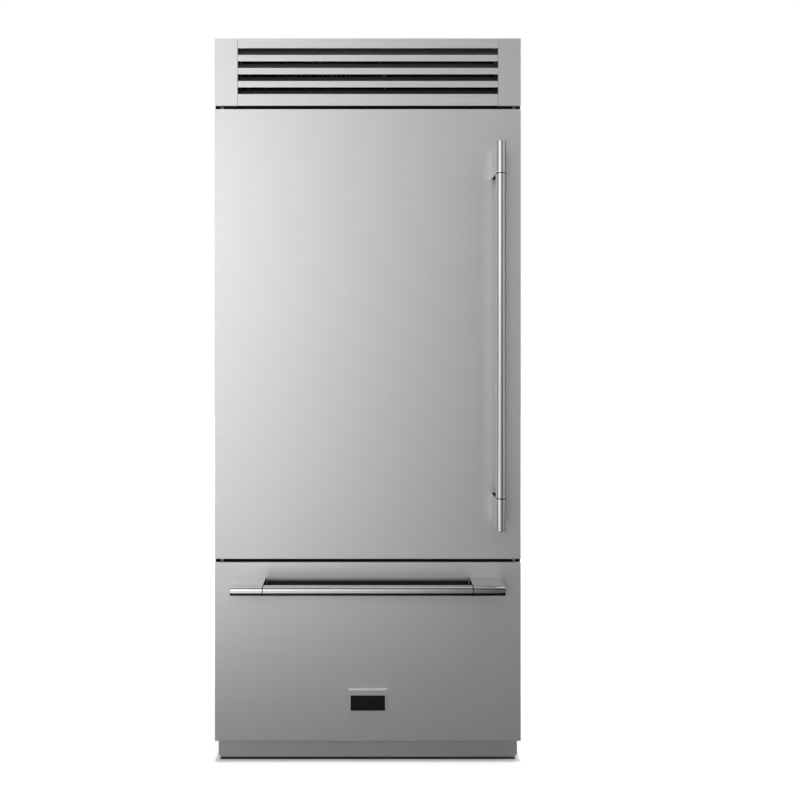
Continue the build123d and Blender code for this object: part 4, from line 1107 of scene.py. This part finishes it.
def deck_trim():
    """White channel along the front of the crispers' cover, with two humidity slides."""
    low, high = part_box("crisper_deck")
    top = high.z
    foot = top - 6 * MM
    front = -70 * MM
    proud = 1.4 * MM
    outline = (
        (front - 2.5 * MM, foot - 1.5 * MM),
        (front + 12 * MM, foot - 1.5 * MM),
        (front + 12 * MM, foot - SLIP),
        (front - SLIP, foot - SLIP),
        (front - SLIP, top + SLIP),
        (front + 14 * MM, top + SLIP),
        (front + 14 * MM, top + proud),
        (front - 1.5 * MM, top + proud),
        (front - 2.5 * MM, top + 0.6 * MM),
    )
    shape = bmesh.new()
    add_prism(shape, (low.x + 12 * MM, high.x - 12 * MM), outline)
    show("deck_trim", shape, "cabinet", "liner_white")
    shape = bmesh.new()
    for x in (-0.25 * (high.x - low.x), 0.25 * (high.x - low.x)):
        near = (x - 45 * MM, front - 3 * MM, top - 4.6 * MM)
        add_block(shape, near, (x + 45 * MM, front - 2 * MM, top - 1.6 * MM), 0.3 * MM)
        near = (x + 8 * MM, front - 7 * MM, top - 7 * MM)
        add_block(shape, near, (x + 20 * MM, front - 1.5 * MM, top + 1 * MM), 1.2 * MM)
    show("humidity_slides", shape, "cabinet", finish=TOUCH_PAD)


def control_panel_fittings():
    """Touch pads and a dark window on the panel's slanted front, and ribs beneath it."""
    low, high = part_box("control_panel")
    slant = 10 * MM
    centre_y = low.y + 0.5 * slant
    centre_z = low.z + 0.5 * slant
    lean = math.sqrt(0.5)
    pad = mm((4.2, -0.5), (4.2, 0.3), (3.7, 0.6), (2.8, 0.35))
    shape = bmesh.new()
    for x in (-120, -96, -72, 72, 96, 120):
        add_turned(shape, (x * MM, centre_y, centre_z), (0.0, -lean, -lean), pad, steps=32)
    show("touch_pads", shape, "cabinet", finish=TOUCH_PAD)
    half = 4.6 * MM
    rise = 0.5 * MM
    sunk = -0.4 * MM
    outline = [
        (centre_y + lean * (along - above), centre_z - lean * (along + above))
        for along, above in (
            (-half, sunk),
            (-half, 0.3 * rise),
            (-half + rise, rise),
            (half - rise, rise),
            (half, 0.3 * rise),
            (half, sunk),
        )
    ]
    shape = bmesh.new()
    add_prism(shape, (-46 * MM, 46 * MM), outline)
    show("panel_window", shape, "cabinet", "badge_black")
    shape = bmesh.new()
    ribs = 24
    end = 20 * MM
    half_thick = 1.2 * MM
    for i in range(ribs):
        x = low.x + end + i * (high.x - low.x - 2 * end) / (ribs - 1)
        near = (x - half_thick, low.y + 24 * MM, low.z - 1.2 * MM)
        add_block(shape, near, (x + half_thick, high.y - 16 * MM, low.z + 0.5 * MM), 0.5 * MM)
    show("panel_ribs", shape, "cabinet", "liner_white")


def light_bar_caps():
    """White end caps on the two light bars."""
    low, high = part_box("light_bars")
    proud = 0.8 * MM
    length = 14 * MM
    deep = 8 * MM
    shape = bmesh.new()
    for inner, outer in ((low.x + deep + proud, low.x), (high.x - deep - proud, high.x)):
        x = sorted((inner, outer))
        for z in ((low.z - proud, low.z + length), (high.z - length, high.z + proud)):
            near = (x[0], low.y - proud, z[0])
            add_block(shape, near, (x[1], high.y + proud, z[1]), 1.2 * MM)
    show("light_bar_caps", shape, "cabinet", "liner_white")


# ---------------- studio
PHOTO_WIDTH = 2.368  # how much the photograph's frame spans at the door face
CAMERA_BACK = 1.87  # from the door face
CAMERA_HEIGHT = 1.2525
SHIFT = (0.0402, -0.06875)
SENSOR = 36.0


def place_camera():
    """A level camera square to the doors, with the photograph's framing made by lens shift."""
    data = bpy.data.cameras.new("camera")
    data.sensor_width = SENSOR
    data.lens = SENSOR * CAMERA_BACK / PHOTO_WIDTH
    data.shift_x, data.shift_y = SHIFT
    data.clip_end = 100.0
    camera = bpy.data.objects.new("camera", data)
    camera.location = (0.0, FRONT - CAMERA_BACK, CAMERA_HEIGHT)
    camera.rotation_euler = (math.pi / 2, 0.0, 0.0)
    bpy.context.scene.collection.objects.link(camera)
    bpy.context.scene.camera = camera


LIT_LEVEL = 0.15  # of the world, on what it lights


def light_world():
    """White behind everything that is seen or mirrored, and a softer white on what is lit."""
    f = Finish("studio", "worlds")
    seen, mirrored, through = (
        f.node("ShaderNodeLightPath", output=f"Is {ray} Ray")
        for ray in ("Camera", "Glossy", "Transmission")
    )
    level = f.spread(seen.most(mirrored).most(through), 0.0, 1.0, LIT_LEVEL)
    white = f.node("ShaderNodeBackground", inputs={"Color": (1.0,) * 4, "Strength": level})
    bpy.context.scene.world = f.outside(white, "ShaderNodeOutputWorld")


def soft_light(name, place, target, width, watts):
    """A square area light aimed at a point, not seen in mirrors."""
    data = bpy.data.lights.new(name, "AREA")
    data.size = width
    data.energy = watts
    lamp = bpy.data.objects.new(name, data)
    lamp.location = place
    lamp.rotation_euler = (Vector(target) - Vector(place)).to_track_quat("-Z", "Y").to_euler()
    lamp.visible_glossy = False
    bpy.context.scene.collection.objects.link(lamp)


def stage_mesh(name, vertices, faces, finish):
    """A sheet of the studio, which is no piece of the refrigerator."""
    mesh = bpy.data.meshes.new(name)
    mesh.from_pydata(vertices, [], faces)
    mesh.materials.append(finish)
    piece = bpy.data.objects.new(name, mesh)
    bpy.context.scene.collection.objects.link(piece)
    return piece


def level_card(half, y, z):
    """Corners of a sheet that lies level, as wide as twice its half."""
    return [(-half, y[0], z), (half, y[0], z), (half, y[1], z), (-half, y[1], z)]


FOOT_HALF = 0.446  # what the refrigerator covers of the floor
FOOT_Y = (-0.229, 0.35)
FLOOR_REACH = 9.0


def studio_floor():
    """Pale floor: white clear of the refrigerator and brighter still far off; close to it a painted
    shadow, and a painted dark patch beneath.
    """
    f = Finish("studio_floor")
    x, y, _ = f.axes()
    grain = f.noise(300)
    out_x = x.size() - FOOT_HALF
    out_y = (y - 0.5 * sum(FOOT_Y)).size() - 0.5 * (FOOT_Y[1] - FOOT_Y[0])
    out = out_x.most(out_y)
    # painted shadow: the glow drops in a strip close round the refrigerator's footprint
    away = f.spread(out, 0.009, 0.018, 0.38, 1.0)
    pale = f.tint(grain, (0.78,) * 3, (0.82,) * 3)
    # painted shade: the floor is near black beneath the refrigerator
    clear_of_painted_dark = f.spread(out, -0.001, 0.003)
    paint = f.node("ShaderNodeBsdfDiffuse", inputs={"Color": f.tint(clear_of_painted_dark, (0.14,) * 3, pale)})
    far = f.spread(out, 0.8, 4.0, 0.0, 0.4)
    glow = f.glow((1.0,) * 3, clear_of_painted_dark * away * 0.74 + far)
    camera = f.node("ShaderNodeLightPath", output="Is Camera Ray")
    both = f.node("ShaderNodeAddShader", inputs={0: paint, 1: glow})
    finish = f.outside(f.node("ShaderNodeMixShader", inputs={0: camera, 1: paint, 2: both}))
    corners = level_card(FLOOR_REACH, (-FLOOR_REACH, FLOOR_REACH), 0.0)
    stage_mesh("floor", corners, [(0, 1, 2, 3)], finish)


CARD_BACK = -3.3  # where the card stands upright
CARD_NEAR = FRONT + 0.042  # where it ends, close to the kick
CARD_HALF = 3.2
CARD_TOP = 5.5
CARD_RUN = (-3.1, 5.5)
CARD_BEND = 0.5
CARD_LIFT = 0.004  # over the floor
CARD_BRIGHTEST = 1.4
# brightness along the card, from the floor at the kick up to its top edge
CARD_LEVELS = (
    (-3.1, 0.02), (-1.98, 0.04), (-1.85, 1.24), (-1.4, 1.14), (-0.8, 0.80), (0.4, 0.70),
    (1.25, 0.95), (2.1, 1.36), (2.9, 1.40), (3.7, 0.88), (5.5, 0.55),
)


def reflector_card():
    """A graded card only mirrors see: bright on the left, grey on the right, dark low down."""
    f = Finish("reflector_card")
    x, y, z = f.axes()
    fan = x / (FRONT + CAMERA_BACK - y)
    across = f.spread(fan, -0.6, 0.245, 2.15, 0.0) + f.spread(fan, 0.3, 0.42, 0.0, 0.5)
    run = f.spread(z - (y - CARD_BACK), *CARD_RUN)
    length = CARD_RUN[1] - CARD_RUN[0]
    stops = [((at - CARD_RUN[0]) / length, level / CARD_BRIGHTEST) for at, level in CARD_LEVELS]
    upward = f.node("ShaderNodeValToRGB", {"stops": stops}, {0: run})
    finish = f.outside(f.glow(upward, across * CARD_BRIGHTEST))
    centre = (CARD_BACK + CARD_BEND, CARD_LIFT + CARD_BEND)
    profile = [(CARD_NEAR, CARD_LIFT), (centre[0], CARD_LIFT)]
    for i in range(1, 9):
        turn = math.pi / 2 * i / 8
        y = centre[0] - CARD_BEND * math.sin(turn)
        profile.append((y, centre[1] - CARD_BEND * math.cos(turn)))
    profile.append((CARD_BACK, CARD_TOP))
    vertices = [(side * CARD_HALF, y, z) for y, z in profile for side in (-1, 1)]
    faces = [(2 * i, 2 * i + 1, 2 * i + 3, 2 * i + 2) for i in range(len(profile) - 1)]
    only_mirrored(stage_mesh("reflector_card", vertices, faces, finish))


def flag(name, corners, level):
    """A plain card that the round handle bars mirror."""
    f = Finish(name)
    grain = f.noise(3)
    tone = f.tint(grain, (level * 0.95,) * 3, (level * 1.05,) * 3)
    finish = f.outside(f.glow(tone, 1.0))
    only_mirrored(stage_mesh(name, corners, [(0, 1, 2, 3)], finish))


LEFT_SPLIT = -1.9  # where each side's nearer flag ends and its rear one starts
RIGHT_SPLIT = -1.1
FLAG_REAR = 3.5
RIGHT_TOP = 2.8
CEILING_REAR = -1.0


def upright(x, y, top=CARD_TOP):
    """Corners of a card that stands along Y at one x."""
    return [(x, y[0], 0.0), (x, y[1], 0.0), (x, y[1], top), (x, y[0], top)]


def only_mirrored(card):
    """Hides a card from everything but reflections."""
    card.visible_camera = False
    card.visible_diffuse = False
    card.visible_transmission = False
    card.visible_shadow = False


finish_nodes()
bellows_seal("door_seal", "door_gasket", "door")
bellows_seal("drawer_seal", "drawer_gasket", "drawer")
gap_shade_strip("upper_gap_shade_strip", (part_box("door_skin")[1].z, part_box("grille_side_trims")[0].z))
gap_shade_strip("lower_gap_shade_strip", (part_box("drawer_skin")[1].z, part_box("door_skin")[0].z))
bracket_shade_pads()
groove_shade_rings()
hinge_leaf_screws()
side_seam_screws()
wheel_bolts()
leg_nuts()
rubber_gland()
compressor_fittings()
cooling_pipes()
control_box_fittings()
evaporator_cover_fittings()
basket_divider()
drawer_fixings()
bin_trims()
duct_fins()
crisper_trims()
deck_trim()
control_panel_fittings()
light_bar_caps()
place_camera()
light_world()
studio_floor()
reflector_card()
flag("left_flag", upright(-CARD_HALF, (CARD_BACK, LEFT_SPLIT)), 1.0)
flag("left_rear_flag", upright(-CARD_HALF, (LEFT_SPLIT, FLAG_REAR)), 0.35)
flag("right_flag", upright(CARD_HALF, (CARD_BACK, RIGHT_SPLIT), RIGHT_TOP), 0.75)
flag("right_rear_flag", upright(CARD_HALF, (RIGHT_SPLIT, FLAG_REAR)), 0.25)
flag("ceiling_flag", level_card(CARD_HALF, (CARD_BACK, CEILING_REAR), CARD_TOP), 0.15)
soft_light("front_light", (-0.9, -4.0, 0.7), (-0.3, -0.3, 0.6), 0.8, 13.0)
soft_light("key_light", (-1.1, -4.0, 2.4), (-0.3, -0.2, 1.5), 1.2, 24.0)
soft_light("back_light", (1.5, 3.2, 3.0), (0.0, 0.3, 1.2), 2.5, 60.0)
soft_light("top_light", (0.0, -0.4, 4.6), (0.0, 0.0, 1.0), 3.0, 60.0)
bpy.context.scene.view_settings.view_transform = "Standard"
